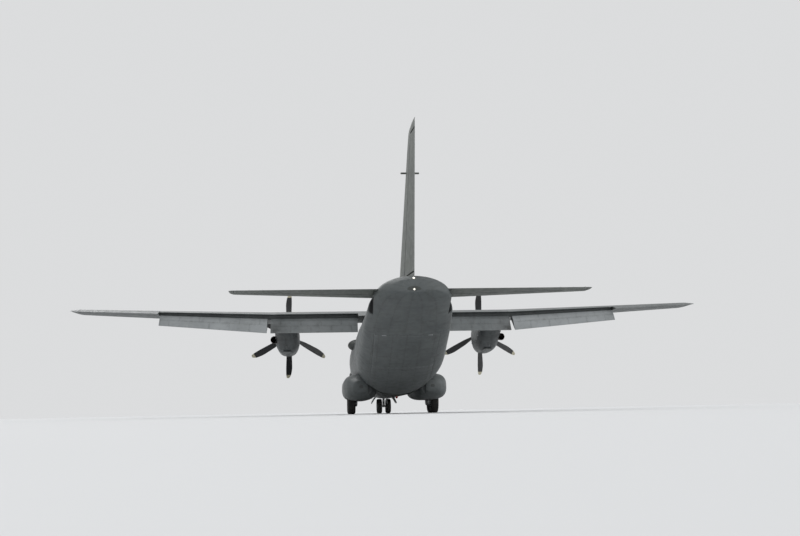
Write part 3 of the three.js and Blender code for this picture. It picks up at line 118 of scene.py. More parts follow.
# Hinges of the control surfaces: chord share, height and how much rounder the nose is than the section
AILERON_HINGE = (0.74, 0.012, 1.04)
TAIL_HINGE = (0.6, 0.0, 1.03)
COVE_GAP = CLEAR + 3
FIN = [
    # height, leading station, trailing station, thickness ratio
    [4380, 16560, 21130, 0.105],
    [9250, 20660, 22585, 0.105],
    [9520, 20960, 22665, 0.1],
    [9640, 21330, 22700, 0.06],
]
RUDDER, RUDDER_FOOT_GAP, RUDDER_TOP_GAP = (4760, 9300), 50, 62
# Station, crest and half width at the foot
DORSAL = [[13300, 4330, 30], [15800, 4840, 110], [17400, 5480, 170], [18200, 6200, 170]]
CROSS_AERIAL = (20500, 8280)
TAIL = [
    # half span, leading station, trailing station, thickness ratio
    [0, 18560, 20900, 0.12],
    [6050, 19960, 20900, 0.11],
    [6200, 20230, 20780, 0.075],
]
TAIL_HEIGHT = 4180
ELEVATOR, ELEVATOR_GAP = (1330, 6030), 16
PROP_X, PROP_Z, PROP_STATION = 4750, 3870, 5100
NACELLE = [
    # station, half width, top, widest height, bottom, squareness of the lower half
    [5275, 370, 4235, 3860, 3330, 2.2],
    [5560, 480, 4360, 3790, 2960, 2.4],
    [6050, 555, 4480, 3700, 2810, 2.6],
    [7050, 565, 4610, 3700, 2850, 2.6],
    [8100, 540, 4640, 3900, 3270, 2.4],
    [8900, 430, 4560, 4100, 3750, 2.2],
    [9250, 300, 4500, 4200, 4020, 2],
]
# Half width, bottom, top and depth of the intake
CHIN = (300, 2920, 3330, 620)
BLADE = [
    # radius, chord, thickness, pitch from the disc in degrees, sweep
    [190, 150, 120, 62, 0],
    [460, 220, 60, 54, 0],
    [900, 330, 34, 42, -8],
    [1500, 345, 22, 32, -4],
    [1900, 265, 14, 27, 26],
    [2065, 120, 8, 25, 62],
]
# Radius, then the stations of its tip and base
SPINNER = (335, 4440, 5255)
FAIRING = [
    # station, half width, top, widest height, bottom, squareness of the lower half
    [5950, 500, 4240, 4120, 3900, 2],
    [6500, 900, 4430, 4130, 3750, 2],
    [7150, 1230, 4620, 4130, 3650, 2],
    [9700, 1280, 4600, 4130, 3650, 2],
    [10700, 1050, 4500, 4130, 3700, 2],
    [11900, 420, 4270, 4140, 3950, 2],
]
SPONSON = [
    # station, half width, half height
    [6300, 260, 190],
    [6800, 520, 400],
    [7600, 700, 540],
    [8300, 720, 560],
    [11300, 720, 560],
    [12100, 600, 470],
    [12600, 330, 260],
]
SPONSON_X, SPONSON_Z, SPONSON_POWER = 1500, 1130, 2.8
# Main bay: inner and outer side, start and end station, roof; nose bay: half width, start, end, roof, wall
MAIN_BAY = (1530, 2105, 8010, 10560, 1215)
NOSE_BAY = (410, 2300, 3720, 1560, 45)
# Start and end station, drop, splay in degrees and thickness, then the hinge's height and the bow
NOSE_DOOR = (2760, 3700, 410, 30, 28)
DOOR_TOP, DOOR_BOW = 845, 22
# Wheels: station or stations, radius, width, distance from the middle and rim radius
NOSE_WHEEL = (3050, 368.5, 270, 225, 190)
MAIN_WHEEL = ((8630, 9930), 495, 330, 1834, 240)
COCKPIT_FLOOR = 1960
# Middle, station, half width, and the heights of cushion and back over the floor
SEAT = (560, 2750, 240, 430, 1120)
BLISTERS = [
    # middle across, station, height, then the reach out, the half length and the half height
    [1590, 3050, 1950, 150, 420, 210],
    [-1590, 3050, 1950, 150, 420, 210],
    [1560, 10450, 3000, 420, 520, 260],
    [-1480, 3420, 1560, 120, 260, 120],
]


def aft(station):
    """The y of a station."""
    return station - LENGTH / 2


def mix(a, b, share):
    return a + (b - a) * share


def signed(value, exponent):
    return math.copysign(abs(value) ** exponent, value)


def straight(rows, value):
    """A table row at a value, on straight lines between the rows."""
    for low, high in zip(rows, rows[1:]):
        if value <= high[0]:
            break
    share = (value - low[0]) / (high[0] - low[0])
    return [mix(a, b, share) for a, b in zip(low, high)]


def flowing(rows, value, bend=lambda x: x):
    """A table row at a value, on a smooth curve that passes through every row and never overshoots."""
    keys = [bend(row[0]) for row in rows]
    key = min(max(bend(value), keys[0]), keys[-1])
    at = next(i for i in range(1, len(keys)) if key <= keys[i] + 1e-9)
    span = keys[at] - keys[at - 1]
    t = (key - keys[at - 1]) / span
    made = [value]
    for column in range(1, len(rows[0])):
        ys = [row[column] for row in rows]

        def rise(i):
            return (ys[i + 1] - ys[i]) / (keys[i + 1] - keys[i])

        def slope(i):
            if i in (0, len(ys) - 1):
                return rise(min(i, len(ys) - 2))
            left, right = rise(i - 1), rise(i)
            return 0 if left * right <= 0 else 2 * left * right / (left + right)

        a, b = slope(at - 1) * span, slope(at) * span
        made.append(
            ys[at - 1] * (2 * t**3 - 3 * t**2 + 1)
            + a * (t**3 - 2 * t**2 + t)
            + ys[at] * (3 * t**2 - 2 * t**3)
            + b * (t**3 - t**2)
        )
    return made


def angles(count, shift=0.0):
    """Even turns all the way round, in radians."""
    return [2 * math.pi * (k + shift) / count for k in range(count)]


def steps(start, end, size):
    """Values from one end to the other, about a size apart."""
    count = max(1, round(abs(end - start) / size))
    return [mix(start, end, k / count) for k in range(count + 1)]


# Mesh making

FINISHES = 3


class Form:
    """Points in millimetres with chord shares; faces with finish numbers and flat coordinates in metres."""

    def __init__(self):
        self.points, self.faces, self.flats, self.shares, self.kinds = [], [], [], [], []

    def loft(self, rings, caps=(True, True), closed=True, loop=False, shares=None, kind=0, origin=(0, 0)):
        start, count = len(self.points), len(rings[0])
        for ring in rings:
            self.points += [Vector(p) for p in ring]
            self.shares += list(shares) if shares else [0.5] * count
        centres = [sum((Vector(p) for p in ring), Vector()) / count for ring in rings]
        along = [origin[0]]
        for a, b in zip(centres, centres[1:]):
            along.append(along[-1] + (b - a).length * MM)
        middle = [Vector(p) for p in rings[len(rings) // 2]]
        around = [origin[1]]
        for k in range(count):
            around.append(around[-1] + (middle[(k + 1) % count] - middle[k]).length * MM)
        kinds = kind if isinstance(kind, list) else [kind] * len(rings)
        for i in range(len(rings) if loop else len(rings) - 1):
            j = (i + 1) % len(rings)
            for k in range(count if closed else count - 1):
                m = (k + 1) % count
                self.faces.append([
                    start + i * count + k, start + i * count + m, start + j * count + m,
                    start + j * count + k
                ])
                u, v = along[i], along[j] if j else along[i] + 0.01
                self.flats.append([(u, around[k]), (u, around[k + 1]), (v, around[k + 1]), (v, around[k])])
                self.kinds.append(kinds[i])
        if caps[0]:
            self._cap([start + k for k in range(count)], kinds[0])
        if caps[1]:
            self._cap([start + (len(rings) - 1) * count + k for k in range(count)], kinds[-1])
        return self

    def _cap(self, corners, kind):
        self.faces.append(corners)
        self.flats.append([(0, 0)] * len(corners))
        self.kinds.append(kind)

    def join(self, other):
        start = len(self.points)
        self.points += other.points
        self.faces += [[i + start for i in face] for face in other.faces]
        self.flats += other.flats
        self.shares += other.shares
        self.kinds += other.kinds
        return self

    def moved(self, change):
        """A copy with every point changed."""
        made = Form()
        made.points = [Vector(change(p)) for p in self.points]
        made.faces, made.flats = [list(f) for f in self.faces], [list(f) for f in self.flats]
        made.shares, made.kinds = list(self.shares), list(self.kinds)
        return made

    def shifted(self, x=0, y=0, z=0):
        return self.moved(lambda p: p + Vector((x, y, z)))

    def mirrored(self):
        return self.moved(lambda p: Vector((-p.x, p.y, p.z)))

    def turned(self, degrees, axis):
        turn = Matrix.Rotation(math.radians(degrees), 3, axis)
        return self.moved(lambda p: turn @ p)

    def finished(self, kind):
        """The same form with all its faces in one finish."""
        self.kinds = [kind] * len(self.kinds)
        return self


def prism(axis, corners, start, end):
    place = {
        "x": lambda u, v, w: (w, u, v), "y": lambda u, v, w: (u, w, v), "z": lambda u, v, w: (u, v, w)
    }[axis]
    return Form().loft([[place(u, v, w) for u, v in corners] for w in (start, end)])


def block(x0, x1, y0, y1, z0, z1):
    return prism("z", [(x0, y0), (x1, y0), (x1, y1), (x0, y1)], z0, z1)


def rounded(corners, radius, count=5):
    """A polygon with its corners rounded."""
    made = []
    for i, corner in enumerate(corners):
        here = Vector(corner)
        before, after = Vector(corners[i - 1]), Vector(corners[(i + 1) % len(corners)])
        a, b = before - here, after - here
        reach = min(radius, a.length * 0.45, b.length * 0.45)
        a, b = here + a.normalized() * reach, here + b.normalized() * reach
        for k in range(count + 1):
            t = k / count
            made.append(tuple(a * (1 - t) ** 2 + here * 2 * t * (1 - t) + b * t**2))
    return made


def tube(path, radius, sides=12, closed=False, flat=1.0, up=None, caps=True):
    """A round or oval bar along a path, with a radius that may change from point to point."""
    path = [Vector(p) for p in path]
    radii = radius if isinstance(radius, (list, tuple)) else [radius] * len(path)
    rings = []
    side = None
    for i, p in enumerate(path):
        before = path[i - 1] if i or closed else p
        after = path[(i + 1) % len(path)] if i < len(path) - 1 or closed else p
        along = (after - before).normalized()
        if side is None:
            side = (up.copy() if up else along.orthogonal()).normalized()
        side = (side - along * side.dot(along)).normalized()
        other = along.cross(side)
        rings.append([
            p + side * radii[i] * flat * math.cos(t) + other * radii[i] * math.sin(t)
            for t in angles(sides)
        ])
    return Form().loft(rings, caps=(caps and not closed,) * 2, loop=closed)


def lathe(outline, axis, centre, sides=64, closed=False):
    """A form turned about a line along an axis: the outline is of [radius, distance along]."""
    centre = Vector(centre)
    rings = []
    for turn in angles(sides):
        c, s = math.cos(turn), math.sin(turn)
        ring = []
        for radius, along in outline:
            radius = max(radius, 0.01)
            local = {
                "x": (along, radius * c, radius * s),
                "y": (radius * c, along, radius * s),
                "z": (radius * c, radius * s, along),
            }[axis]
            ring.append(centre + Vector(local))
        rings.append(ring)
    return Form().loft(rings, caps=(False, False), closed=closed, loop=True)


def smooth_path(points, count=6, closed=False):
    """More points on a curve that passes through the given ones."""
    points = [Vector(p) for p in points]
    made, n = [], len(points)
    for i in range(n if closed else n - 1):
        p1, p2 = points[i], points[(i + 1) % n]
        p0 = points[i - 1] if i or closed else p1
        p3 = points[(i + 2) % n] if i + 2 < n or closed else p2
        for k in range(count):
            t = k / count
            made.append(
                0.5
                * (
                    2 * p1 + (p2 - p0) * t + (2 * p0 - 5 * p1 + 4 * p2 - p3) * t**2
                    + (3 * p1 - p0 - 3 * p2 + p3) * t**3
                )
            )
    if not closed:
        made.append(points[-1])
    return made


def both(form):
    """A form and its mirror image together."""
    return Form().join(form).join(form.mirrored())


def ball(centre, reach, sides=28, rows=14):
    """An egg shape with a reach along each axis."""
    outline = [(math.sin(math.pi * k / rows), -math.cos(math.pi * k / rows)) for k in range(rows + 1)]
    place, size = Vector(centre), Vector(reach)
    return lathe(outline, "y", (0, 0, 0), sides).moved(lambda p: place + p * size)


def raw(name, form):
    """A Blender object of a form, with its finish numbers, flat coordinates and chord shares."""
    mesh = bpy.data.meshes.new(name)
    mesh.from_pydata([p * MM for p in form.points], [], form.faces)
    for _ in range(FINISHES):
        mesh.materials.append(None)
    layer = mesh.uv_layers.new(name="flat")
    for face, flats in zip(mesh.polygons, form.flats):
        for loop, flat in zip(face.loop_indices, flats):
            layer.data[loop].uv = flat
    for face, kind in zip(mesh.polygons, form.kinds):
        face.material_index = kind
    share = mesh.attributes.new("share", "FLOAT", "POINT")
    share.data.foreach_set("value", form.shares)
    made = bmesh.new()
    made.from_mesh(mesh)
    bmesh.ops.remove_doubles(made, verts=made.verts, dist=2e-5)
    bmesh.ops.recalc_face_normals(made, faces=made.faces)
    made.to_mesh(mesh)
    made.free()
    thing = bpy.data.objects.new(name, mesh)
    bpy.context.scene.collection.objects.link(thing)
    return thing


def carve(thing, form, way="DIFFERENCE"):
    """Cuts a closed form out of a piece, or keeps only what they share."""
    cutter = raw("cutter", form)
    modifier = thing.modifiers.new("cut", "BOOLEAN")
    modifier.operation, modifier.solver, modifier.object = way, "EXACT", cutter
    result = bpy.data.meshes.new_from_object(thing.evaluated_get(bpy.context.evaluated_depsgraph_get()))
    thing.modifiers.clear()
    old, thing.data = thing.data, result
    bpy.data.meshes.remove(old)
    bpy.data.objects.remove(cutter)


def dress(thing, body, finishes, replaces=(), sharp=34):
    """Gives a piece its finishes, sharp edges only where it bends hard, and its body."""
    mesh = thing.data
    kinds = [face.material_index for face in mesh.polygons]
    mesh.materials.clear()
    finishes = finishes if isinstance(finishes, list) else [finishes]
    for finish in finishes:
        mesh.materials.append(finish)
    for face, kind in zip(mesh.polygons, kinds):
        face.material_index = min(kind, len(finishes) - 1)
    for face in mesh.polygons:
        face.use_smooth = True
    mesh.set_sharp_from_angle(angle=math.radians(sharp))
    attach(thing, body)
    if replaces:
        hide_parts(*([replaces] if isinstance(replaces, str) else replaces))
    return thing


def piece(name, form, body, finishes, replaces=(), sharp=34, cuts=(), keep=None):
    thing = raw(name, form)
    for cut in cuts:
        carve(thing, cut)
    if keep is not None:
        carve(thing, keep, "INTERSECT")
    return dress(thing, body, finishes, replaces, sharp)


def pair(name, form, body, finishes, replaces=None, sharp=34, cuts=(), keep=None):
    """A piece on the port side and its mirror image."""
    for side in ("port", "starboard"):
        turn = (lambda f: f) if side == "port" else (lambda f: f.mirrored())
        piece(
            f"{name}_{side}",
            turn(form),
            body.format(side=side),
            finishes,
            f"{replaces}_{side}" if replaces else (),
            sharp,
            [turn(cut) for cut in cuts],
            turn(keep) if keep is not None else None,
        )


# Materials, whose lengths are in metres

EXHAUST_OUT = 5.36


class Shader:
    """A short way to write one node material."""

    def __init__(self, name):
        self.material = bpy.data.materials.new(name)
        self.material.use_nodes = True
        self.tree = self.material.node_tree
        self.tree.nodes.clear()
        self.out = self.node("ShaderNodeOutputMaterial")
        self.surface = self.node("ShaderNodeBsdfPrincipled")
        self.tree.links.new(self.surface.outputs[0], self.out.inputs[0])
        self.place = self.node("ShaderNodeTexCoord").outputs["Object"]

    def node(self, kind, **settings):
        made = self.tree.nodes.new(kind)
        for key, value in settings.items():
            setattr(made, key, value)
        return made

    def put(self, socket, value):
        if isinstance(value, bpy.types.NodeSocket):
            self.tree.links.new(value, socket)
        elif value is not None:
            socket.default_value = value
        return socket

    def math(self, way, a, b=None, c=None, clamp=False):
        made = self.node("ShaderNodeMath", operation=way, use_clamp=clamp)
        for socket, value in zip(made.inputs, (a, b, c)):
            self.put(socket, value)
        return made.outputs[0]

    def times(self, a, b):
        return self.math("MULTIPLY", a, b)

    def noise(self, scale, detail=3.0, rough=0.5, where=None, stretch=None, distort=0.0):
        where = where or self.place
        if stretch:
            moved = self.node("ShaderNodeMapping")
            self.put(moved.inputs["Vector"], where)
            moved.inputs["Scale"].default_value = stretch
            where = moved.outputs[0]
        made = self.node("ShaderNodeTexNoise")
        self.put(made.inputs["Vector"], where)
        made.inputs["Scale"].default_value = scale
        made.inputs["Detail"].default_value = detail
        made.inputs["Roughness"].default_value = rough
        made.inputs["Distortion"].default_value = distort
        return made.outputs[0]

    def ramp(self, value, low, high, start=0.0, end=1.0):
        made = self.node("ShaderNodeMapRange", clamp=True)
        for socket, item in zip(made.inputs, (value, low, high, start, end)):
            self.put(socket, item)
        return made.outputs[0]

    def blend(self, share, a, b, way="MIX"):
        made = self.node("ShaderNodeMix", data_type="RGBA", blend_type=way, clamp_factor=True)
        self.put(made.inputs[0], share)
        for socket, value in ((made.inputs[6], a), (made.inputs[7], b)):
            self.put(socket, value if isinstance(value, bpy.types.NodeSocket) else tone(value))
        return made.outputs[2]

    def parts(self, vector):
        made = self.node("ShaderNodeSeparateXYZ")
        self.put(made.inputs[0], vector)
        return made.outputs

    def bump(self, height, strength, distance, below=None):
        made = self.node("ShaderNodeBump")
        made.inputs["Strength"].default_value = strength
        made.inputs["Distance"].default_value = distance
        self.put(made.inputs["Height"], height)
        if below is not None:
            self.put(made.inputs["Normal"], below)
        return made.outputs[0]

    def worn(self, low=0.53, high=0.62):
        """Where edges stand out and lose their finish."""
        edge = self.ramp(self.node("ShaderNodeNewGeometry").outputs["Pointiness"], low, high)
        return self.times(edge, self.ramp(self.noise(14, 4, 0.65), 0.4, 0.62))

    def chips(self):
        """Small scattered chips, for parts whose faces are large."""
        small = self.ramp(self.noise(38, 4, 0.6), 0.66, 0.7)
        return self.times(small, self.ramp(self.noise(5, 3), 0.45, 0.6))

    def done(self, colour, roughness, normal=None, numbers=()):
        """Joins up the surface, sets its plain numbers and gives back the material."""
        for socket, value in (("Base Color", colour), ("Roughness", roughness), ("Normal", normal)):
            self.put(self.surface.inputs[socket], value)
        for socket, value in dict(numbers).items():
            self.surface.inputs[socket].default_value = value
        return self.material


def tone(value):
    """A hex colour, or three linear numbers, as a linear colour."""
    if isinstance(value, str):
        parts = [int(value[i : i + 2], 16) / 255 for i in (0, 2, 4)]
        return [c / 12.92 if c <= 0.04045 else ((c + 0.055) / 1.055) ** 2.4 for c in parts] + [1.0]
    return list(value) + [1.0] if len(value) == 3 else list(value)


def painted(
    name, base, light, dark, *, rough=0.5, panels=None, boots=None, soot=False, grime=0.35, edges=True
):
    """Aircraft paint: faded patches, grime, chipped edges, panel joints with rivets, boots and soot."""
    s = Shader(name)
    colour = s.blend(s.ramp(s.noise(0.9, 5, 0.6), 0.35, 0.68), base, light)
    streaks = s.ramp(s.noise(1.6, 6, 0.62, stretch=(2.2, 0.35, 2.2)), 0.52, 0.78)
    colour = s.blend(s.times(streaks, grime), colour, dark)
    roughness = s.ramp(s.noise(5, 4, 0.6), 0.3, 0.7, rough - 0.08, rough + 0.1)
    normal = s.bump(s.noise(2.6, 2, 0.45), 0.04, 0.012)
    if panels:
        wide, high = panels
        flat = s.node("ShaderNodeUVMap", uv_map="flat").outputs[0]
        u, v, _ = s.parts(flat)
        row = s.math("FLOOR", s.math("DIVIDE", v, high))
        lag = s.times(s.math("MODULO", row, 2.0), wide / 2)
        across = s.math("PINGPONG", s.math("ADD", u, lag), wide / 2)
        around = s.math("PINGPONG", v, high / 2)
        near = s.math("MINIMUM", across, around)
        joint = s.ramp(near, 0.0025, 0.0045, 1.0, 0.0)
        dot_u = s.math("SUBTRACT", s.math("FRACT", s.times(u, 25.0)), 0.5)
        dot_v = s.math("SUBTRACT", s.math("FRACT", s.times(v, 25.0)), 0.5)
        gone = s.math("ADD", s.math("POWER", dot_u, 2.0), s.math("POWER", dot_v, 2.0))
        head = s.ramp(gone, 0.006, 0.012, 1.0, 0.0)
        strip = s.times(s.math("GREATER_THAN", near, 0.012), s.math("LESS_THAN", near, 0.052))
        rivet = s.times(head, strip)
        colour = s.blend(s.times(joint, 0.62), colour, dark)
        colour = s.blend(s.times(rivet, 0.3), colour, dark)
        smear = s.times(s.ramp(near, 0.0, 0.09, 1.0, 0.0), s.ramp(s.noise(7, 5, 0.6), 0.42, 0.7))
        colour = s.blend(s.times(smear, grime), colour, dark)
        normal = s.bump(joint, -0.35, 0.002, normal)
        normal = s.bump(rivet, 0.1, 0.001, normal)
    if soot:
        x, y, z = s.parts(s.place)
        off = s.math("ABSOLUTE", s.math("SUBTRACT", s.math("ABSOLUTE", x), EXHAUST_OUT))
        wide = s.ramp(off, 0.12, 0.85, 1.0, 0.0)
        long = s.times(s.ramp(y, -3.9, -3.3), s.ramp(y, -1.2, 0.4, 1.0, 0.0))
        low = s.ramp(z, 3.7, 4.35, 1.0, 0.0)
        smoke = s.times(s.times(wide, long), s.times(low, s.ramp(s.noise(3, 5, 0.6), 0.2, 0.6)))
        colour = s.blend(s.times(smoke, 0.8), colour, "15130f")
    worn = s.worn() if edges else s.chips()
    colour = s.blend(s.times(worn, 0.5), colour, "8f9293")
    if boots:
        share = s.node("ShaderNodeAttribute", attribute_name="share").outputs["Fac"]
        boot = s.math("LESS_THAN", share, boots)
        rubber = s.blend(s.noise(4, 5, 0.6), "121314", "26282a")
        colour = s.blend(boot, colour, rubber)
        roughness = s.math("ADD", roughness, s.times(boot, 0.12))
        tubes = s.math("PINGPONG", s.times(share, 90.0), 1.0)
        normal = s.bump(s.times(tubes, boot), 0.2, 0.002, normal)
    return s.done(colour, roughness, normal)


def bare_metal(name, base, light, dark, rough=0.35, brushed=(1, 1, 1), heat=None, edges=True):
    """Metal with brush lines, stains, and straw and blue heat colours where asked."""
    s = Shader(name)
    lines = s.noise(40, 4, 0.6, stretch=brushed)
    colour = s.blend(s.ramp(s.noise(3, 5, 0.6), 0.35, 0.7), base, light)
    colour = s.blend(s.times(s.ramp(s.noise(9, 6, 0.7), 0.5, 0.75), 0.55), colour, dark)
    if heat:
        y = s.parts(s.place)[1]
        bands = s.ramp(s.math("ADD", y, s.times(s.noise(4, 3), 0.12)), *heat)
        colour = s.blend(s.times(bands, 0.75), colour, "5a3f2a")
        colour = s.blend(s.times(s.math("POWER", bands, 4.0), 0.7), colour, "23242c")
    colour = s.blend(s.times(s.worn(0.52, 0.6) if edges else s.chips(), 0.5), colour, "c9cbcc")
    roughness = s.ramp(lines, 0.2, 0.8, rough - 0.1, rough + 0.16)
    return s.done(colour, roughness, s.bump(lines, 0.08, 0.001), {"Metallic": 0.9})


def rubber(name, base, dust, rough=0.82, fine=120):
    s = Shader(name)
    colour = s.blend(s.ramp(s.noise(6, 5, 0.65), 0.35, 0.75), base, dust)
    colour = s.blend(s.times(s.worn(0.54, 0.64), 0.5), colour, "55524c")
    roughness = s.ramp(s.noise(20, 4), 0.3, 0.7, rough - 0.08, rough + 0.1)
    return s.done(colour, roughness, s.bump(s.noise(fine, 4, 0.6), 0.12, 0.001))


def glass(name, tint, rough=0.04, solid=0.35):
    s = Shader(name)
    film = s.ramp(s.noise(3, 6, 0.65), 0.5, 0.8, rough, rough + 0.12)
    colour = s.blend(s.ramp(s.noise(2, 4), 0.4, 0.7), tint, "3a4644")
    numbers = {"Transmission Weight": 1.0 - solid, "IOR": 1.46, "Coat Weight": 0.5}
    return s.done(colour, film, s.bump(s.noise(2.2, 2), 0.02, 0.004), numbers)


def woven(name, base, second):
    """Coarse cloth with a plain weave, fluff and faded patches."""
    s = Shader(name)
    x, y, z = s.parts(s.place)
    warp = s.math("PINGPONG", s.times(s.math("ADD", x, s.times(z, 0.2)), 450.0), 1.0)
    weft = s.math("PINGPONG", s.times(s.math("ADD", y, z), 450.0), 1.0)
    weave = s.math("MAXIMUM", warp, weft)
    colour = s.blend(s.ramp(s.noise(5, 5, 0.6), 0.35, 0.7), base, second)
    colour = s.blend(s.times(weave, 0.35), colour, "0c0d0c")
    roughness = s.ramp(s.noise(12, 3), 0.3, 0.7, 0.85, 0.97)
    normal = s.bump(weave, 0.35, 0.0008, s.bump(s.noise(30, 4), 0.15, 0.003))
    return s.done(colour, roughness, normal, {"Sheen Weight": 0.35})


def lamp(name, base, glow=0.0):
    s = Shader(name)
    colour = s.blend(s.noise(30, 4), base, "2a2622")
    roughness = s.ramp(s.noise(20, 3), 0.3, 0.7, 0.08, 0.22)
    numbers = {"Coat Weight": 0.6}
    if glow:
        numbers.update({"Emission Color": tone(base), "Emission Strength": glow})
    return s.done(colour, roughness, s.bump(s.noise(90, 2), 0.1, 0.001), numbers)


# The outside paints are a real mid grey darkened as painted shade: the whole airframe is made darker than its
# paint, standing in for the shade it sits in when lit from behind.
GREY_DARKENED_AS_SHADE, PALE_DARKENED_AS_SHADE, DIRT = "4d5253", "5a5f5f", "2b2e28"
SKIN = painted("hull_paint_darkened_as_shade", GREY_DARKENED_AS_SHADE, PALE_DARKENED_AS_SHADE, DIRT, panels=(1.15, 0.52))
FLAT_SKIN = painted("door_paint_darkened_as_shade", "4b5051", "595d5d", DIRT, grime=0.45)
NOSE_SKIN = painted("radome_paint_darkened_as_shade", "3d4142", "494d4d", "232521", rough=0.6)
WING_SKIN = painted("wing_paint_darkened_as_shade", GREY_DARKENED_AS_SHADE, PALE_DARKENED_AS_SHADE, DIRT, panels=(0.85, 0.6), boots=0.045)
TAIL_SKIN = painted("tail_paint_darkened_as_shade", "4b504c", "585d57", "292c25", panels=(0.7, 0.55), boots=0.05)
# The flaps' greys are lit copies of the wing paint: painted sky light on the lowered flaps' upper faces,
# strongest on the outboard flaps; the inboard flaps get a grey in between, painted light and shade, along
# with real exhaust soot.
FLAP_SKIN_OUT_SKYLIT = painted("outboard_flap_paint_skylit", "85898a", "94989a", "44463f", panels=(0.9, 0.4))
FLAP_SKIN_IN_PART_LIT = painted("inboard_flap_paint_lit_and_shaded", "5e6364", "707475", "262822", panels=(0.9, 0.4), soot=True)
NACELLE_SKIN = painted(
    "cowling_paint_darkened_as_shade", "494e50", "575c5d", "232521", panels=(0.8, 0.7), soot=True, grime=0.55
)
COMPOSITE = painted("composite_paint_darkened_as_shade", "474c4e", "54595a", "272a25", rough=0.56, panels=(1.4, 0.9))
INTERIOR = painted("interior_primer", "6c7464", "7b8272", "3a3d33", rough=0.7, grime=0.5, edges=False)
BAY = painted("bay_primer", "a7aca6", "bcc0ba", "4a4a42", rough=0.55, grime=0.7)
GEAR = painted("gear_enamel", "c3c6c4", "d6d8d5", "54524a", rough=0.38, grime=0.6, edges=False)
BLADES = painted("blade_paint", "191a1c", "26282a", "3a3832", rough=0.42, grime=0.5)
BLADE_TIPS = painted("blade_tip_paint", "b9b39a", "cbc6b0", "6c6656", rough=0.45, grime=0.5)
DARK = painted("panel_black", "191b1c", "25282a", "3c3a35", rough=0.6, grime=0.4, edges=False)
TRIM = painted("frame_paint", "35393a", "404445", "1f211d", rough=0.42)
METAL = bare_metal("aluminium_parts", "8f9294", "b3b6b8", "4c4a45", brushed=(1, 6, 1))
CHROME = bare_metal("polished_piston", "c6c9cb", "e2e4e5", "7d7a73", rough=0.16, brushed=(4, 4, 0.3))
ENGINE = bare_metal("engine_metal", "6d6b67", "8d8a84", "35322d", rough=0.42, edges=False)
HOT = bare_metal("exhaust_metal", "6a5f54", "877a6c", "2b2723", rough=0.45, heat=(-4.1, -3.4))
TYRE = rubber("tyre_rubber", "17181a", "34322e")
SEAL = rubber("seal_rubber", "0f1011", "1f2021", 0.7, 200)
WINDOW = glass("window_glass", "080c0f", solid=0.6)
SEAT_CLOTH = woven("seat_cloth", "2f352c", "3d4438")
BELT = woven("belt_webbing", "4a4c46", "5c5e56")
SCREEN = glass("screen_glass", "050607", 0.08, 0.95)
NAV_RED, NAV_GREEN = lamp("red_lens", "8c1410"), lamp("green_lens", "0f6b3a")
BEACON = lamp("beacon_lens", "b3280f")
LANDING_LIGHT = lamp("lamp_lens", "dfe3e0")
TAIL_LIGHT = lamp("tail_lens", "f0ece0", 1.5)


# Hull


def section(s):
    return flowing(HULL, s, math.sqrt)


def hull_ring(row, inset=0.0, sides=96, x=0.0):
    """The outline of a hull or nacelle at one table row: a round top over a squarer bottom."""
    station, half, top, widest, bottom, square = row
    ring = []
    for turn in angles(sides, 0.5):
        angle = turn - math.pi / 2
        low = math.sin(angle) < 0
        reach = (widest - bottom if low else top - widest) - inset
        shape = 2 / square if low else 1
        ring.append((
            x + (half - inset) * signed(math.cos(angle), shape),
            aft(station),
            widest + reach * signed(math.sin(angle), shape),
        ))
    return ring


def underside(s, x, inset=0.0):
    """The height of the hull's lower skin at a station and a distance from its middle."""
    _, half, _, widest, bottom, square = section(s)
    across = min(abs(x) / (half - inset), 1)
    return widest - (widest - bottom - inset) * (1 - across**square) ** (1 / square)


def flank(s, z):
    """How far from its middle the hull's skin is, at a station and a height."""
    _, half, top, widest, bottom, square = section(s)
    if z >= widest:
        return half * math.sqrt(max(0.0, 1 - ((z - widest) / (top - widest)) ** 2))
    return half * max(0.0, 1 - ((widest - z) / (widest - bottom)) ** square) ** (1 / square)


def front_station(x, z, table=section, low=0.0, high=4000.0):
    """The station where a skin first reaches a point seen from ahead."""
    for _ in range(40):
        middle = (low + high) / 2
        _, half, top, widest, bottom, square = table(middle)
        power = 2 if z >= widest else square
        reach = top - widest if z >= widest else widest - bottom
        inside = abs(x / half) ** power + abs((z - widest) / reach) ** power < 1
        low, high = (low, middle) if inside else (middle, high)
    return high


def shell(start, end, wall, size=110):
    """One hull barrel: outer and inner skin, with fine steps where it meets the next."""
    outer = [
        hull_ring(section(start), 5), *[hull_ring(section(s)) for s in steps(start + 5, end - 5, size)],
        hull_ring(section(end), 5)
    ]
    inner = [hull_ring(section(s), wall) for s in steps(end, start, size * 1.5)]
    kinds = [0] * len(outer) + [1] * len(inner)
    return Form().loft(outer + inner, caps=(False, False), loop=True, kind=kinds)


nose_stations = [s * s / RADOME_END for s in steps(8, RADOME_END - 5, 38)]
nose_middle = HULL[0][3]
RADOME_TIP = ((12, 0.4), (6, 0.85))
radome_rings = [
    [
        (x * share, aft(-ahead_of), nose_middle + (z - nose_middle) * share)
        for x, _, z in hull_ring(section(0))
    ]
    for ahead_of, share in RADOME_TIP
]
radome_rings += [hull_ring(section(s)) for s in nose_stations] + [hull_ring(section(RADOME_END - 1), 5)]
radome_rings += [hull_ring(section(s), RADOME_WALL) for s in steps(RADOME_END - 1, 600, 120)]
piece("radome_skin", Form().loft(radome_rings), "airframe", NOSE_SKIN, "radome")

front_cuts = Form()
for corners in FRONT_PANES:
    front_cuts.join(prism("y", rounded(corners, 45), *map(aft, PANE_FRONT)))
side_cuts = Form()
for corners in SIDE_PANES:
    shape = rounded([(aft(s), z) for s, z in corners], 45)
    for side in (1, -1):
        side_cuts.join(prism("x", shape, *(side * x for x in PANE_SIDE)))


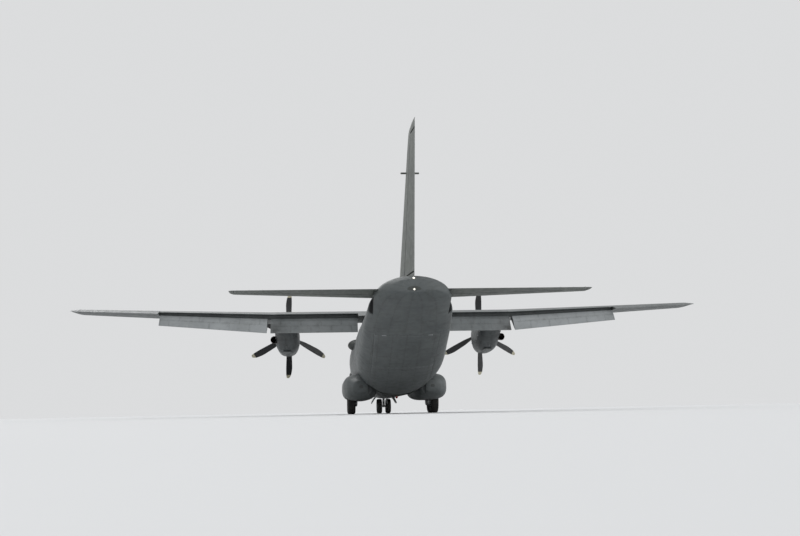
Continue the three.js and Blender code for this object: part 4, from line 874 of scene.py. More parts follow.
def door_shape(door, gap):
    """A door's rounded outline, grown by a gap."""
    start, end, low, high = door
    return rounded(
        [
            (aft(start) - gap, low - gap), (aft(end) + gap, low - gap), (aft(end) + gap, high + gap),
            (aft(start) - gap, high + gap)
        ],
        90
    )


bay_half, bay_start, bay_end, bay_roof, bay_wall = NOSE_BAY
bay_cut = block(-bay_half, bay_half, aft(bay_start), aft(bay_end), 300, 1400)
crew_cut = prism("x", door_shape(CREW_DOOR, 6), 900, 2200)
PORTHOLES = [
    (side, station) for station in HOLD_PORTHOLES for side in (1, -1) if (side, station) != BLISTER_PORTHOLE
]


def disc(station, z, radius, count=28):
    return [(aft(station) + radius * math.cos(t), z + radius * math.sin(t)) for t in angles(count)]


piece(
    "forward_skin",
    shell(RADOME_END + 1, FORWARD_END - 1, WALL, 70),
    "airframe",
    [SKIN, INTERIOR],
    "fuselage_forward",
    cuts=[front_cuts, side_cuts, bay_cut.join(crew_cut)],
)
door_inner = prism("x", door_shape(CREW_DOOR, 0), 900, 2200)
piece(
    "crew_door_skin", shell(CREW_DOOR[0] - 60, CREW_DOOR[1] + 60, WALL, 60), "crew_door_panel",
    [FLAT_SKIN, INTERIOR], "crew_door", keep=door_inner,
    cuts=[prism("x", disc(*CREW_PORTHOLE), 1200, 2200)]
)

holes = Form()
for side, station in PORTHOLES:
    holes.join(prism("x", disc(station, PORT_HEIGHT, PORT_RADIUS), side * 1200, side * 2100))
rear_swing = block(
    -RAMP_HALF - 10, RAMP_HALF + 10, aft(CENTRE_END - BELLY_GAP), aft(CENTRE_END + 40), 500, 1410
)
pocket_rings = []
for s in steps(CENTRE_END - RAMP_SWING, CENTRE_END + 30, 40):
    ring = [(x, aft(s), underside(s, x, BELLY_SKIN)) for x in steps(-RAMP_HALF - 8, RAMP_HALF + 8, 60)]
    pocket_rings.append(ring + [(RAMP_HALF + 8, aft(s), 1420), (-RAMP_HALF - 8, aft(s), 1420)])
swing_pocket = Form().loft(pocket_rings).finished(1)
piece(
    "centre_skin", shell(FORWARD_END + 1, CENTRE_END - 1, WALL), "airframe", [SKIN, INTERIOR],
    "fuselage_centre", cuts=[holes, rear_swing, swing_pocket]
)

rear_opening = prism(
    "x",
    [
        (aft(CENTRE_END) - 50, 300), (aft(CARGO_DOOR_END) + CARGO_DOOR_GAP, 300),
        (aft(CARGO_DOOR_END) + CARGO_DOOR_GAP, 3090), (aft(RAMP_END), RAMP_END_TOP + 60),
        (aft(CENTRE_END) - 50, FLOOR_TOP + 20),
    ],
    -RAMP_HALF - CLEAR, RAMP_HALF + CLEAR
)
rear_room = block(
    -RAMP_HALF - 30, RAMP_HALF + 30, aft(CENTRE_END) - 60, aft(CARGO_DOOR_END) + 40, 300, 3600
)
troop_cuts = Form()
for side in (1, -1):
    troop_cuts.join(prism("x", door_shape(TROOP_DOOR, 6), side * 1000, side * 2200))
    troop_cuts.join(prism("x", disc(AFT_PORTHOLE, PORT_HEIGHT, PORT_RADIUS), side * 1200, side * 2100))
piece(
    "aft_skin", shell(CENTRE_END + 1, AFT_END - 1, AFT_WALL, 90), "airframe", [SKIN, INTERIOR],
    "fuselage_aft", cuts=[rear_opening, troop_cuts]
)
pair(
    "side_door", shell(TROOP_DOOR[0] - 60, TROOP_DOOR[1] + 60, AFT_WALL, 60), "airframe",
    [FLAT_SKIN, INTERIOR], "troop_door", keep=prism("x", door_shape(TROOP_DOOR, 0), 900, 2200),
    cuts=[prism("x", disc(*DOOR_PORTHOLE), 1200, 2200)]
)

CONE_END = HULL[-1][0]
cone_rings = [hull_ring(section(s), CONE_WALL) for s in steps(20800, AFT_END + 2, 130)]
cone_rings += [hull_ring(section(AFT_END + 2), 5)] + [
    hull_ring(section(s)) for s in steps(AFT_END + 8, CONE_END, 60)
]
end_row = section(CONE_END)
for back, share in ((34, 0.86), (52, 0.6), (60, 0.3)):
    cone_rings.append([
        (p[0] * share, aft(CONE_END + back), end_row[3] + (p[2] - end_row[3]) * share)
        for p in hull_ring(end_row)
    ])
notches = both(block(ELEVATOR[0] - CLEAR, 7000, aft(19600), aft(21300), 3000, 5000))
piece("tail_cone_skin", Form().loft(cone_rings), "airframe", SKIN, "tail_cone", cuts=[notches])


# Cockpit glass, its seals and wipers

band_out = [hull_ring(section(s), 30) for s in steps(1480, 3400, 50)]
band_in = [hull_ring(section(s), 52) for s in steps(3400, 1480, 80)]
band = Form().loft(band_out + band_in, caps=(False, False), loop=True)
keep = Form()
PANE_LAP = 1.03


def lapped(corners, along_x, along_y):
    """A change that grows a pane about its middle, so that it laps its frame."""
    middle = sum((Vector(corner) for corner in corners), Vector()) / len(corners)
    grow = Vector((PANE_LAP if along_x else 1, PANE_LAP if along_y else 1, PANE_LAP))
    return lambda p: middle + (p - middle) * grow


for corners in FRONT_PANES:
    pane = prism("y", rounded(corners, 40), *map(aft, PANE_FRONT))
    keep.join(pane.moved(lapped([(x, 0, z) for x, z in corners], True, False)))
for corners in SIDE_PANES:
    for side in (1, -1):
        pane = prism("x", rounded([(aft(s), z) for s, z in corners], 40), *(side * x for x in PANE_SIDE))
        keep.join(pane.moved(lapped([(0, aft(s), z) for s, z in corners], False, True)))
piece("windscreen_panes", band, "airframe", WINDOW, "windscreen", keep=keep)


def filled(outline, size=60):
    """A closed outline with points added along its long edges."""
    made = []
    for a, b in zip(outline, outline[1:] + outline[:1]):
        count = max(1, round(math.dist(a, b) / size))
        made += [(mix(a[0], b[0], k / count), mix(a[1], b[1], k / count)) for k in range(count)]
    return made


seals = Form()
for corners in FRONT_PANES:
    path = [(x, aft(front_station(x, z)) + 2, z) for x, z in filled(rounded(corners, 45, 6))]
    seals.join(tube(path, 13, 8, closed=True))
for corners in SIDE_PANES:
    for side in (1, -1):
        path = [(side * (flank(s, z) - 2), aft(s), z) for s, z in filled(rounded(corners, 45, 6))]
        seals.join(tube(path, 13, 8, closed=True))
piece("pane_seals", seals, "airframe", SEAL)

wipers = Form()
for side in (1, -1):
    foot, tip_point = (side * 330, 3085), (side * 620, 3430)
    path = [tuple(mix(a, b, t / 4) for a, b in zip(foot, tip_point)) for t in range(5)]
    wipers.join(tube([(x, aft(front_station(x, z)) - 16, z) for x, z in path], [13, 9, 8, 7, 6], 8))
    blade_path = [(tip_point[0] + side * d * 0.5, tip_point[1] + d) for d in (-210, -100, 0, 100)]
    wipers.join(tube([(x, aft(front_station(x, z)) - 9, z) for x, z in blade_path], 7, 6))
    foot_y = aft(front_station(*foot))
    wipers.join(lathe(
        [(0, -30), (24, -30), (30, -6), (30, 10), (0, 10)], "y", (foot[0], foot_y, foot[1]), 16
    ))
piece("wipers", wipers, "airframe", DARK)


# Portholes: each a pane behind a ring

ports, rings = Form(), Form()


def porthole(side, station, z, radius):
    face = flank(station, z)
    slope = (flank(station, z + 10) - flank(station, z - 10)) / 20

    def lean(form):
        return form.moved(lambda p: Vector((side * (p.x + slope * (p.z - z)), p.y, p.z)))

    ports.join(lean(lathe(
        [(0, -34), (radius + 4, -34), (radius + 4, -24), (0, -24)], "x", (face, aft(station), z), 28
    )))
    rings.join(lean(lathe(
        [
            (radius - 9, -30), (radius - 8, 1), (radius + 1, 5), (radius + 14, 4), (radius + 18, -8),
            (radius + 4, -30), (radius - 9, -30)
        ],
        "x", (face, aft(station), z), 36
    )))


for side, station in PORTHOLES:
    porthole(side, station, PORT_HEIGHT, PORT_RADIUS)
for side in (1, -1):
    porthole(side, AFT_PORTHOLE, PORT_HEIGHT, PORT_RADIUS)
    porthole(side, *DOOR_PORTHOLE)
piece("porthole_panes", ports, "airframe", WINDOW)
piece("porthole_rings", rings, "airframe", TRIM)
ports, rings = Form(), Form()
porthole(1, *CREW_PORTHOLE)
piece("crew_door_pane", ports, "crew_door_panel", WINDOW)
piece("crew_door_ring", rings, "crew_door_panel", TRIM)


# Ramp and cargo door, on the rising underside


def joint_station(z):
    """Where the slanted joint between ramp and cargo door is, at a height."""
    return RAMP_END - RAMP_SLOPE * (z - RAMP_END_HEIGHT)


def grid_solid(low, high, rows, columns):
    """A closed slab between two grids of points."""
    form = Form()
    for grid in (low, high):
        form.points += [Vector(p) for line in grid for p in line]
    form.shares += [0.5] * len(form.points)
    width = columns + 1
    offset = (rows + 1) * width

    def face(corners, kind):
        form.faces.append(corners)
        form.flats.append([(form.points[i].y * MM, form.points[i].x * MM) for i in corners])
        form.kinds.append(kind)

    for i in range(rows):
        for j in range(columns):
            a = i * width + j
            face([a, a + 1, a + width + 1, a + width], 0)
            face([offset + a, offset + a + width, offset + a + width + 1, offset + a + 1], 1)
    edge = list(range(columns)) + [i * width + columns for i in range(rows)]
    edge += [rows * width + columns - j for j in range(columns)] + [(rows - i) * width for i in range(rows)]
    for a, b in zip(edge, edge[1:] + edge[:1]):
        face([b, a, offset + a, offset + b], 0)
    return form


ramp_front, ramp_back = CENTRE_END + 10, joint_station(RAMP_END_TOP) - 10
ramp_rise = (RAMP_END_TOP - FLOOR_TOP) / (ramp_back - ramp_front)
low, high = [], []
for i in range(37):
    line_low, line_high = [], []
    for j in range(31):
        x = mix(-RAMP_HALF, RAMP_HALF, j / 30)
        end = RAMP_END
        for _ in range(6):
            end = joint_station(underside(end, x))
        s = mix(ramp_front, end, i / 36)
        inset = RAMP_INSET * min(1, max(0, (CENTRE_END + RAMP_SWING + 55 - s) / 55))
        line_low.append((x, aft(s), underside(s, x, inset)))
        s = mix(ramp_front, ramp_back, i / 36)
        line_high.append((x, aft(s), mix(FLOOR_TOP, RAMP_END_TOP, i / 36)))
    low.append(line_low)
    high.append(line_high)
ramp_rooms, ramp_ears = Form(), Form()
for x in RAMP_KNUCKLES:
    middle = (x, aft(RAMP_HINGE[0]), RAMP_HINGE[1])
    ramp_rooms.join(lathe(
        [(0, -70), (17, -70), (17, -38), (38, -38), (38, 38), (17, 38), (17, 70), (0, 70)], "x", middle, 24
    ))
    for side in (1, -1):
        outline = [
            (13, side * 39), (20, side * 39), (22, side * 41), (22, side * 60), (20, side * 62),
            (13, side * 62)
        ]
        ramp_ears.join(lathe(outline, "x", middle, 24, closed=True))
piece(
    "ramp_shell", grid_solid(low, high, 36, 30), "cargo_ramp", [SKIN, INTERIOR], "ramp",
    cuts=[ramp_rooms]
)
piece("ramp_ears", ramp_ears, "cargo_ramp", METAL)

low, high = [], []
for i in range(33):
    line_low, line_high = [], []
    for j in range(31):
        x = mix(-RAMP_HALF, RAMP_HALF, j / 30)
        start = RAMP_END
        for _ in range(6):
            start = joint_station(underside(start, x)) + 12
        s = mix(start, CARGO_DOOR_END, i / 32)
        z = underside(s, x)
        line_low.append((x, aft(s), z))
        slope = (underside(s + 20, x) - underside(s - 20, x)) / 40
        rise = 66 * math.sqrt(1 + slope**2)
        rise *= min(1, (CARGO_DOOR_END - s) / 115 + 0.25)
        line_high.append((x, aft(s), z + rise))
    low.append(line_low)
    high.append(line_high)
door_rooms = Form()
for x in DOOR_KNUCKLES:
    door_rooms.join(lathe(
        [(0, -42), (36, -42), (36, 42), (0, 42)], "x", (x, aft(DOOR_HINGE[0]), DOOR_HINGE[1]), 24
    ))
piece(
    "cargo_door_shell", grid_solid(low, high, 32, 30), "cargo_door_panel", [SKIN, INTERIOR],
    "cargo_door", cuts=[door_rooms]
)


# Wing


def half_thick(a, thick):
    """Half the thickness of the usual four-digit section at a chord share."""
    a = min(max(a, 0), 1)
    return 5 * thick * (0.2969 * math.sqrt(a) - 0.126 * a - 0.3516 * a**2 + 0.2843 * a**3 - 0.1036 * a**4)


def over(a, thick, camber=CAMBER):
    return 4 * camber * a * (1 - a) + half_thick(a, thick)


def under(a, thick, camber=CAMBER):
    return 4 * camber * a * (1 - a) - half_thick(a, thick)


def spread(start, end, count):
    """Chord shares between two ends, closer together near the leading edge."""
    low, high = math.sqrt(start), math.sqrt(end)
    return [mix(low, high, k / count) ** 2 for k in range(count + 1)]


def full_loop(thick, camber=CAMBER, count=26):
    top = [(a, over(a, thick, camber)) for a in reversed(spread(0, 1, count))]
    return top + [(a, under(a, thick, camber)) for a in spread(0, 1, count)[1:-1]]


def arc_loops(thick, hinge, above, grown, camber, gap, count=22, lean=1.0):
    """The fixed and the moving loop of a section split at a hinge; lean stretches the arcs lengthwise."""
    radius = half_thick(hinge, thick) * grown

    def crossing(size, surface, sign):
        for k in range(91):
            angle = math.radians(90 + k)
            a, n = hinge + lean * size * math.cos(angle), above + sign * size * math.sin(angle)
            if (surface(a, thick, camber) - n) * sign > 0:
                return angle
        return math.pi / 2

    wide = radius + gap
    top, foot = crossing(wide, over, 1), crossing(wide, under, -1)
    top_a, foot_a = hinge + lean * wide * math.cos(top), hinge + lean * wide * math.cos(foot)
    fixed = [(a, over(a, thick, camber)) for a in reversed(spread(0, top_a, count))]
    fixed += [(a, under(a, thick, camber)) for a in spread(0, foot_a, count)[1:]]
    cove = [mix(2 * math.pi - foot, top, k / 9) for k in range(1, 9)]
    fixed += [(hinge + lean * wide * math.cos(t), above + wide * math.sin(t)) for t in cove]
    top, foot = crossing(radius, over, 1), crossing(radius, under, -1)
    moving = [(a, over(a, thick, camber)) for a in reversed(spread(hinge, 1, 10))]
    nose = [mix(top, 2 * math.pi - foot, k / 12) for k in range(1, 12)]
    moving += [(hinge + lean * radius * math.cos(t), above + radius * math.sin(t)) for t in nose]
    moving += [(a, under(a, thick, camber)) for a in spread(hinge, 1, 10)[:-1]]
    return fixed, moving


def wing_row(x):
    """The wing's row at a distance from the middle, with a tip whose edges curve in."""
    x = abs(x)
    row = straight(WING, min(x, WING[-1][0]))
    (start, lead, chord, _, thick), (end, tip_lead, tip_chord, _, tip_thick) = WING[-2:]
    if x <= start:
        return row
    t = (x - start) / (end - start)
    leading = mix(lead, tip_lead, t**TIP_CURVE)
    trailing = mix(lead + chord, tip_lead + tip_chord, t**TIP_CURVE)
    return [x, leading, trailing - leading, row[3], mix(thick, tip_thick, t**3)]


def on_wing(x, a, n):
    """A point at a distance from the middle, a chord share, and a height as a share of the chord."""
    _, leading, chord, z, _ = wing_row(x)
    c, s = math.cos(INCIDENCE), math.sin(INCIDENCE)
    return Vector((x, aft(leading) + a * chord * c + n * chord * s, z - a * chord * s + n * chord * c))


def wing_part(start, end, loop_at, place=on_wing, row_at=wing_row, size=420, caps=(True, True)):
    loops = [(x, loop_at(row_at(x))) for x in steps(start, end, size)]
    return Form().loft(
        [[place(x, a, n) for a, n in loop] for x, loop in loops],
        caps=caps,
        shares=[a for a, _ in loops[0][1]],
        origin=(start * MM, 0),
    )


def eased(path, rounds=2):
    """An open path with its corners cut, which never leaves them."""
    for _ in range(rounds):
        cut = [path[0]]
        for a, b in zip(path, path[1:]):
            cut += [tuple(mix(u, v, t) for u, v in zip(a, b)) for t in (0.25, 0.75)]
        path = cut + [path[-1]]
    return path


def flap_cove(row):
    """The fixed wing's section ahead of a flap."""
    _, _, chord, _, thick = row
    g = CLEAR / chord
    loop = [(a, over(a, thick)) for a in reversed(spread(0, FLAP_LIP - g, 24))]
    loop += [(a, under(a, thick)) for a in spread(0, FLAP_NOSE + 0.012 - g, 22)[1:]]
    loop += [(FLAP_NOSE + 0.003 - g, -0.012), (FLAP_NOSE - g, 0.006), (FLAP_NOSE + 0.006 - g, 0.026)]
    loop += [
        (FLAP_NOSE + 0.03, over(FLAP_NOSE + 0.03, thick) - 0.013 + g),
        (FLAP_LIP - g, over(FLAP_LIP, thick) - FLAP_SKIN + g)
    ]
    return loop


def flap_loop(row):
    """A flap's section in its nested place."""
    thick = row[4]
    loop = [(a, over(a, thick)) for a in reversed(spread(FLAP_LIP, 1, 10))]
    nose = [
        (FLAP_LIP, over(FLAP_LIP, thick) - FLAP_SKIN),
        (FLAP_NOSE + 0.03, over(FLAP_NOSE + 0.03, thick) - 0.013),
        (FLAP_NOSE + 0.006, 0.026),
        (FLAP_NOSE, 0.006),
        (FLAP_NOSE + 0.003, -0.012),
        (FLAP_NOSE + 0.012, under(FLAP_NOSE + 0.012, thick)),
    ]
    loop += eased(nose)
    return loop + [(a, under(a, thick)) for a in spread(FLAP_NOSE + 0.012, 1, 12)[1:-1]]


def fixed_aileron(row):
    return arc_loops(row[4], *AILERON_HINGE, CAMBER, COVE_GAP / row[2])[0]


def moving_aileron(row):
    return arc_loops(row[4], *AILERON_HINGE, CAMBER, COVE_GAP / row[2])[1]


def full_wing(row):
    return full_loop(row[4])


cove_start = FLAPS["inboard"][0] - FLAP_END_GAP
centre = wing_part(-cove_start, cove_start, full_wing, size=1000)
centre.join(both(wing_part(cove_start, WING_JOINT - 1, flap_cove)))
outer = wing_part(WING_JOINT + 1, AILERON[0] - AILERON_GAP, flap_cove)
outer.join(wing_part(AILERON[0] - AILERON_GAP, AILERON[1] + AILERON_GAP, fixed_aileron))
tip_spans = [13954, 14050, 14140, 14220, 14280, 14320, 14345]
tip_rings = [[on_wing(x, a, n) for a, n in full_wing(wing_row(x))] for x in tip_spans]
flat_end = [on_wing(14358, mix(0.5, a, 0.9), n * 0.6) for a, n in full_loop(wing_row(14350)[4])]
outer.join(Form().loft(tip_rings + [flat_end], shares=[a for a, _ in full_loop(0.1)], origin=(13.95, 0)))


def flap_pivot(x):
    return on_wing(x, *FLAP_PIVOT)


def swung(form, start, end, angle=-FLAP_DOWN):
    """A nested flap form, let down about its pivots."""
    centre_point, along = flap_pivot(start), (flap_pivot(end) - flap_pivot(start)).normalized()
    turn = Matrix.Rotation(angle, 3, along)
    return form.moved(lambda p: centre_point + turn @ (p - centre_point))


def hinge_plates(x, along):
    """The wing's two lugs at one flap arm."""
    pivot = flap_pivot(x)
    made = Form()
    for side in (-1, 1):
        rings = []
        for shift in (24, 30, 58, 64):
            trim = 0 if shift in (30, 58) else 6
            centre_point = pivot + along * side * shift
            arc = [
                centre_point + Vector((0, math.cos(t), math.sin(t))) * (42 - trim)
                for t in steps(-math.pi * 0.75, math.pi * 0.25, 0.25)
            ]
            front = on_wing(x, 0.40, -0.012) + along * side * shift
            low_front = on_wing(x, 0.44, -0.052) + along * side * shift
            top_back = on_wing(x, FLAP_NOSE - 0.014, -0.006) + along * side * shift
            rings.append([low_front, *arc, top_back, front])
        made.join(Form().loft(rings))
    for side in (-1, 1):
        made.join(tube([pivot + along * side * 22, pivot + along * side * 70], 17, 14))
    return made


def flap_arm(x, start, end):
    """A flap's swan-neck arm with its eye at the pivot, in its nested place."""
    along = (flap_pivot(end) - flap_pivot(start)).normalized()
    pivot = flap_pivot(x)
    back = (on_wing(x, 0.8, 0) - on_wing(x, 0.7, 0)).normalized()
    up = along.cross(back)
    rings = []
    for shift, trim in ((-16, 5), (-11, 0), (11, 0), (16, 5)):
        side = along * shift
        arc = [
            pivot + side + (up * math.cos(t) - back * math.sin(t)) * (40 - trim)
            for t in steps(0, math.pi, 0.3)
        ]
        under_flap = [(0.8, -0.034), (0.845, -0.014), (0.8, -0.012), (0.745, -0.019), (0.729, -0.0335)]
        neck = [on_wing(x, a, n) + side for a, n in under_flap]
        neck[0] += up * trim
        neck[-1] -= up * trim
        rings.append([*arc, *neck])
    return Form().loft(rings)


wing_brackets, bracket_outer = Form(), Form()
for name, (start, end, arms) in FLAPS.items():
    along = (flap_pivot(end) - flap_pivot(start)).normalized()
    for share in arms:
        x = mix(start, end, share)
        (wing_brackets if name == "inboard" else bracket_outer).join(hinge_plates(x, along))
centre.join(wing_brackets).join(wing_brackets.mirrored())
outer.join(bracket_outer)
piece("wing_centre_skin", centre, "airframe", WING_SKIN, "wing_centre", sharp=28)
pair("wing_outer_skin", outer, "airframe", WING_SKIN, "wing_outer", sharp=28)
for name, (start, end, arms) in FLAPS.items():
    flap = wing_part(start, end, flap_loop)
    for share in arms:
        flap.join(flap_arm(mix(start, end, share), start, end))
    flap = swung(flap, start, end)
    # The flaps' lighter greys are painted sky light, and the outboard ones are lighter than the inboard ones.
    finish = FLAP_SKIN_OUT_SKYLIT if name == "outboard" else FLAP_SKIN_IN_PART_LIT
    pair(f"flap_{name}_skin", flap, f"flap_{name}_{{side}}_panel", finish, f"flap_{name}", sharp=28)
pair(
    "aileron_skin", wing_part(*AILERON, moving_aileron), "aileron_{side}_panel", WING_SKIN,
    "aileron", sharp=28
)


# Tail


def tail_row(x):
    """The tailplane's row at a distance from the middle, with a tip like the wing's."""
    x = abs(x)
    (start, lead, trail, thick), (end, tip_lead, tip_trail, tip_thick) = TAIL[-2:]
    if x <= start:
        return straight(TAIL, x)
    t = (x - start) / (end - start)
    return [
        x, mix(lead, tip_lead, t**TIP_CURVE), mix(trail, tip_trail, t**TIP_CURVE),
        mix(thick, tip_thick, t**3)
    ]


def on_tail(x, a, n):
    _, leading, trailing, _ = tail_row(x)
    chord = trailing - leading
    return Vector((x, aft(leading) + a * chord, TAIL_HEIGHT + n * chord))


def fin_row(z):
    return straight(FIN, z)


def on_fin(z, a, n):
    _, leading, trailing, _ = fin_row(z)
    chord = trailing - leading
    return Vector((n * chord, aft(leading) + a * chord, z))


def split_at(rows, part):
    """The fixed or the moving loop of the tail, for a hinge line that leans as its rows say."""
    (start, lead, trail, _), (end, far_lead, far_trail, _) = rows[:2]
    slope = (mix(far_lead, far_trail, TAIL_HINGE[0]) - mix(lead, trail, TAIL_HINGE[0])) / (end - start)

    def loop(row):
        return arc_loops(
            row[3], *TAIL_HINGE, 0.0, COVE_GAP / (row[2] - row[1]), lean=math.hypot(1, slope)
        )[part]

    return loop


def plain(row):
    return full_loop(row[3], 0.0)


inner, outer_end = ELEVATOR[0] - ELEVATOR_GAP, ELEVATOR[1] + ELEVATOR_GAP
half_tail = wing_part(0, inner, plain, on_tail, tail_row)
half_tail.join(wing_part(inner, outer_end, split_at(TAIL, 0), on_tail, tail_row))
tip_spans = [outer_end, 6090, 6130, 6160, 6185, 6199]
rings = [[on_tail(x, a, n) for a, n in plain(tail_row(x))] for x in tip_spans]
rings.append([on_tail(6206, mix(0.5, a, 0.8), n * 0.4) for a, n in plain(tail_row(tip_spans[-1]))])
half_tail.join(Form().loft(rings, shares=[a for a, _ in plain(tail_row(6100))]))
piece("tailplane_skin", both(half_tail), "airframe", TAIL_SKIN, "tailplane", sharp=28)
pair(
    "elevator_skin", wing_part(*ELEVATOR, split_at(TAIL, 1), on_tail, tail_row), "elevator_{side}_panel",
    TAIL_SKIN, "elevator", sharp=28
)

fin_foot, fin_cap = RUDDER[0] - RUDDER_FOOT_GAP, RUDDER[1] + RUDDER_TOP_GAP
fin = wing_part(FIN[0][0], fin_foot, plain, on_fin, fin_row, size=200)
fin.join(wing_part(fin_foot, fin_cap, split_at(FIN, 0), on_fin, fin_row))
fin_top = [fin_cap, 9420, 9480, 9540, 9590, 9620, 9636]
rings = [[on_fin(z, a, n) for a, n in plain(fin_row(z))] for z in fin_top]
rings.append([on_fin(9640, mix(0.5, a, 0.9), n * 0.5) for a, n in plain(fin_row(9640))])
fin.join(Form().loft(rings, shares=[a for a, _ in plain(fin_row(9400))]))
strake_rings = []
for s in steps(DORSAL[0][0], DORSAL[-1][0], 130):
    _, crest, foot = flowing(DORSAL, s)
    base = section(s)[2] - 60
    ring = []
    for k in range(17):
        t = -1 + k / 8
        across = abs(t) ** 1.5
        ring.append((math.copysign(foot * across, t) if t else 0, aft(s), mix(crest, base, abs(t) ** 1.15)))
    strake_rings.append(ring)
fin.join(Form().loft(strake_rings, shares=[0.5] * 17))
fin.join(lathe(
    [(0, -325), (18, -325), (30, -316), (32, -300), (32, 300), (30, 316), (18, 325), (0, 325)], "x",
    (0, aft(CROSS_AERIAL[0]), CROSS_AERIAL[1]), 20
))
piece("fin_skin", fin, "airframe", TAIL_SKIN, "fin", sharp=28)
piece(
    "rudder_skin", wing_part(*RUDDER, split_at(FIN, 1), on_fin, fin_row), "rudder_panel", TAIL_SKIN,
    "rudder", sharp=28
)


# Fairing and sponsons

hull_solid = Form().loft([hull_ring(section(s), -0.5, 64) for s in steps(5800, 13000, 300)])
fairing = Form().loft([
    hull_ring(flowing(FAIRING, s), 0, 72) for s in steps(FAIRING[0][0], FAIRING[-1][0], 90)
])
piece("fairing_skin", fairing, "airframe", COMPOSITE, "wing_fairing", cuts=[hull_solid])


def sponson_ring(s, squeeze=1.0, sides=64):
    """The outline of the sponson at a station, squeezed for its rounded ends."""
    _, half, high = flowing(SPONSON, s)
    power = 2 / SPONSON_POWER
    return [
        (
            SPONSON_X + half * squeeze * signed(math.cos(t), power),
            aft(s),
            SPONSON_Z + high * squeeze * signed(math.sin(t), power),
        )
        for t in angles(sides, 0.5)
    ]


fore, back = SPONSON[0][0], SPONSON[-1][0]
sponson_rings = [
    [(x, aft(fore - d), z) for x, _, z in sponson_ring(fore, q)]
    for d, q in ((52, 0.25), (42, 0.6), (22, 0.86))
]
sponson_rings += [sponson_ring(s) for s in steps(fore, back, 75)]
sponson_rings += [
    [(x, aft(back + d), z) for x, _, z in sponson_ring(back, q)]
    for d, q in ((26, 0.86), (48, 0.6), (60, 0.25))
]
b_in, b_out, b_start, b_end, b_roof = MAIN_BAY
wheel_bay = prism(
    "x", rounded([(aft(b_start), 0), (aft(b_end), 0), (aft(b_end), b_roof), (aft(b_start), b_roof)], 160),
    b_in, b_out
).finished(1)
ramp_side = block(0, RAMP_HALF + 12, aft(CENTRE_END) - 10, aft(13100), 0, 2000)
pair(
    "sponson_skin", Form().loft(sponson_rings), "airframe", [SKIN, BAY], "sponson",
    cuts=[hull_solid, wheel_bay, ramp_side]
)


# Nacelles


def cowl(s):
    return flowing(NACELLE, s)


chin_half, chin_low, chin_high, chin_depth = CHIN
chin_shape = rounded(
    [
        (PROP_X - chin_half, chin_high - 120), (PROP_X - chin_half + 90, chin_low + 90),
        (PROP_X + chin_half - 90, chin_low + 90), (PROP_X + chin_half, chin_high - 120),
        (PROP_X + chin_half - 60, chin_high), (PROP_X - chin_half + 60, chin_high),
    ],
    60, 4
)
cowl_start, cowl_end = NACELLE[0][0], NACELLE[-1][0]
nacelle_rings = [hull_ring(cowl(cowl_start), inset, 72, PROP_X) for inset in (220, 60)]
nacelle_rings += [
    [(x, aft(cowl_start - d), z) for x, _, z in hull_ring(cowl(cowl_start), inset, 72, PROP_X)]
    for d, inset in ((0, 40), (9, 26), (11, 16), (8, 7))
]
nacelle_rings += [hull_ring(cowl(s), 0, 72, PROP_X) for s in steps(cowl_start + 4, cowl_end, 65)]
nacelle_rings.append([
    (mix(PROP_X, x, 0.7), aft(cowl_end + 35), mix(4230, z, 0.7))
    for x, _, z in hull_ring(cowl(cowl_end), 0, 72, PROP_X)
])
chin_cut = prism("y", chin_shape, aft(5100), aft(cowl_start + chin_depth))
pair(
    "nacelle_skin", Form().loft(nacelle_rings), "airframe", NACELLE_SKIN, "nacelle", cuts=[chin_cut]
)
lip = [(x, aft(front_station(x - PROP_X, z, cowl, cowl_start + 1, 6500)), z) for x, z in chin_shape]
pair("intake_lip", tube(smooth_path(lip, 2, True), 20, 10, closed=True), "airframe", SEAL)

pipe_path = smooth_path(
    [(5080, aft(7150), 3600), (5190, aft(7330), 3560), (5280, aft(7560), 3520), (5345, aft(7885), 3488)], 8
)
outer_pipe = [165] * (len(pipe_path) - 2) + [168, 170]
pipe = tube(pipe_path, outer_pipe, 40)
bore_path = [
    pipe_path[0] + (pipe_path[1] - pipe_path[0]) * 3, *pipe_path[5:],
    pipe_path[-1] + (pipe_path[-1] - pipe_path[-2])
]
pair("exhaust_pipe", pipe, "airframe", HOT, "exhaust", cuts=[tube(bore_path, 156, 40)])


# Propellers and spinners


def blade_ring(row, sides=24):
    """One section of the blade that points down, twisted by its pitch."""
    radius, chord, thick, pitch, sweep = row
    turn = math.radians(pitch)
    ring = []
    for angle in angles(sides):
        across = chord / 2 * math.cos(angle) + sweep
        deep = thick / 2 * math.sin(angle) * (1 - 0.28 * math.cos(angle))
        ring.append((
            across * math.cos(turn) + deep * math.sin(turn),
            across * math.sin(turn) - deep * math.cos(turn), -radius
        ))
    return ring


blade_rings = [
    blade_ring(flowing(BLADE, r)) for r in steps(190, 2040, 62)
] + [blade_ring(flowing(BLADE, r)) for r in (2052, 2061)]
last = flowing(BLADE, 2065)
blade_rings.append([
    tuple(
        mix(c, p, 0.55)
        for c, p in zip(Vector(blade_rings[-1][0]).lerp(Vector(blade_rings[-1][12]), 0.5), q)
    )
    for q in blade_ring(last)
])
tip_start = next(i for i, ring in enumerate(blade_rings) if -ring[0][2] > 1905)
blade = Form().loft(blade_rings, kind=[0] * tip_start + [1] * (len(blade_rings) - tip_start))
blade.join(lathe(
    [(0, -500), (66, -500), (76, -480), (82, -380), (82, -180), (0, -180)], "z", (0, 0, 0), 24
))


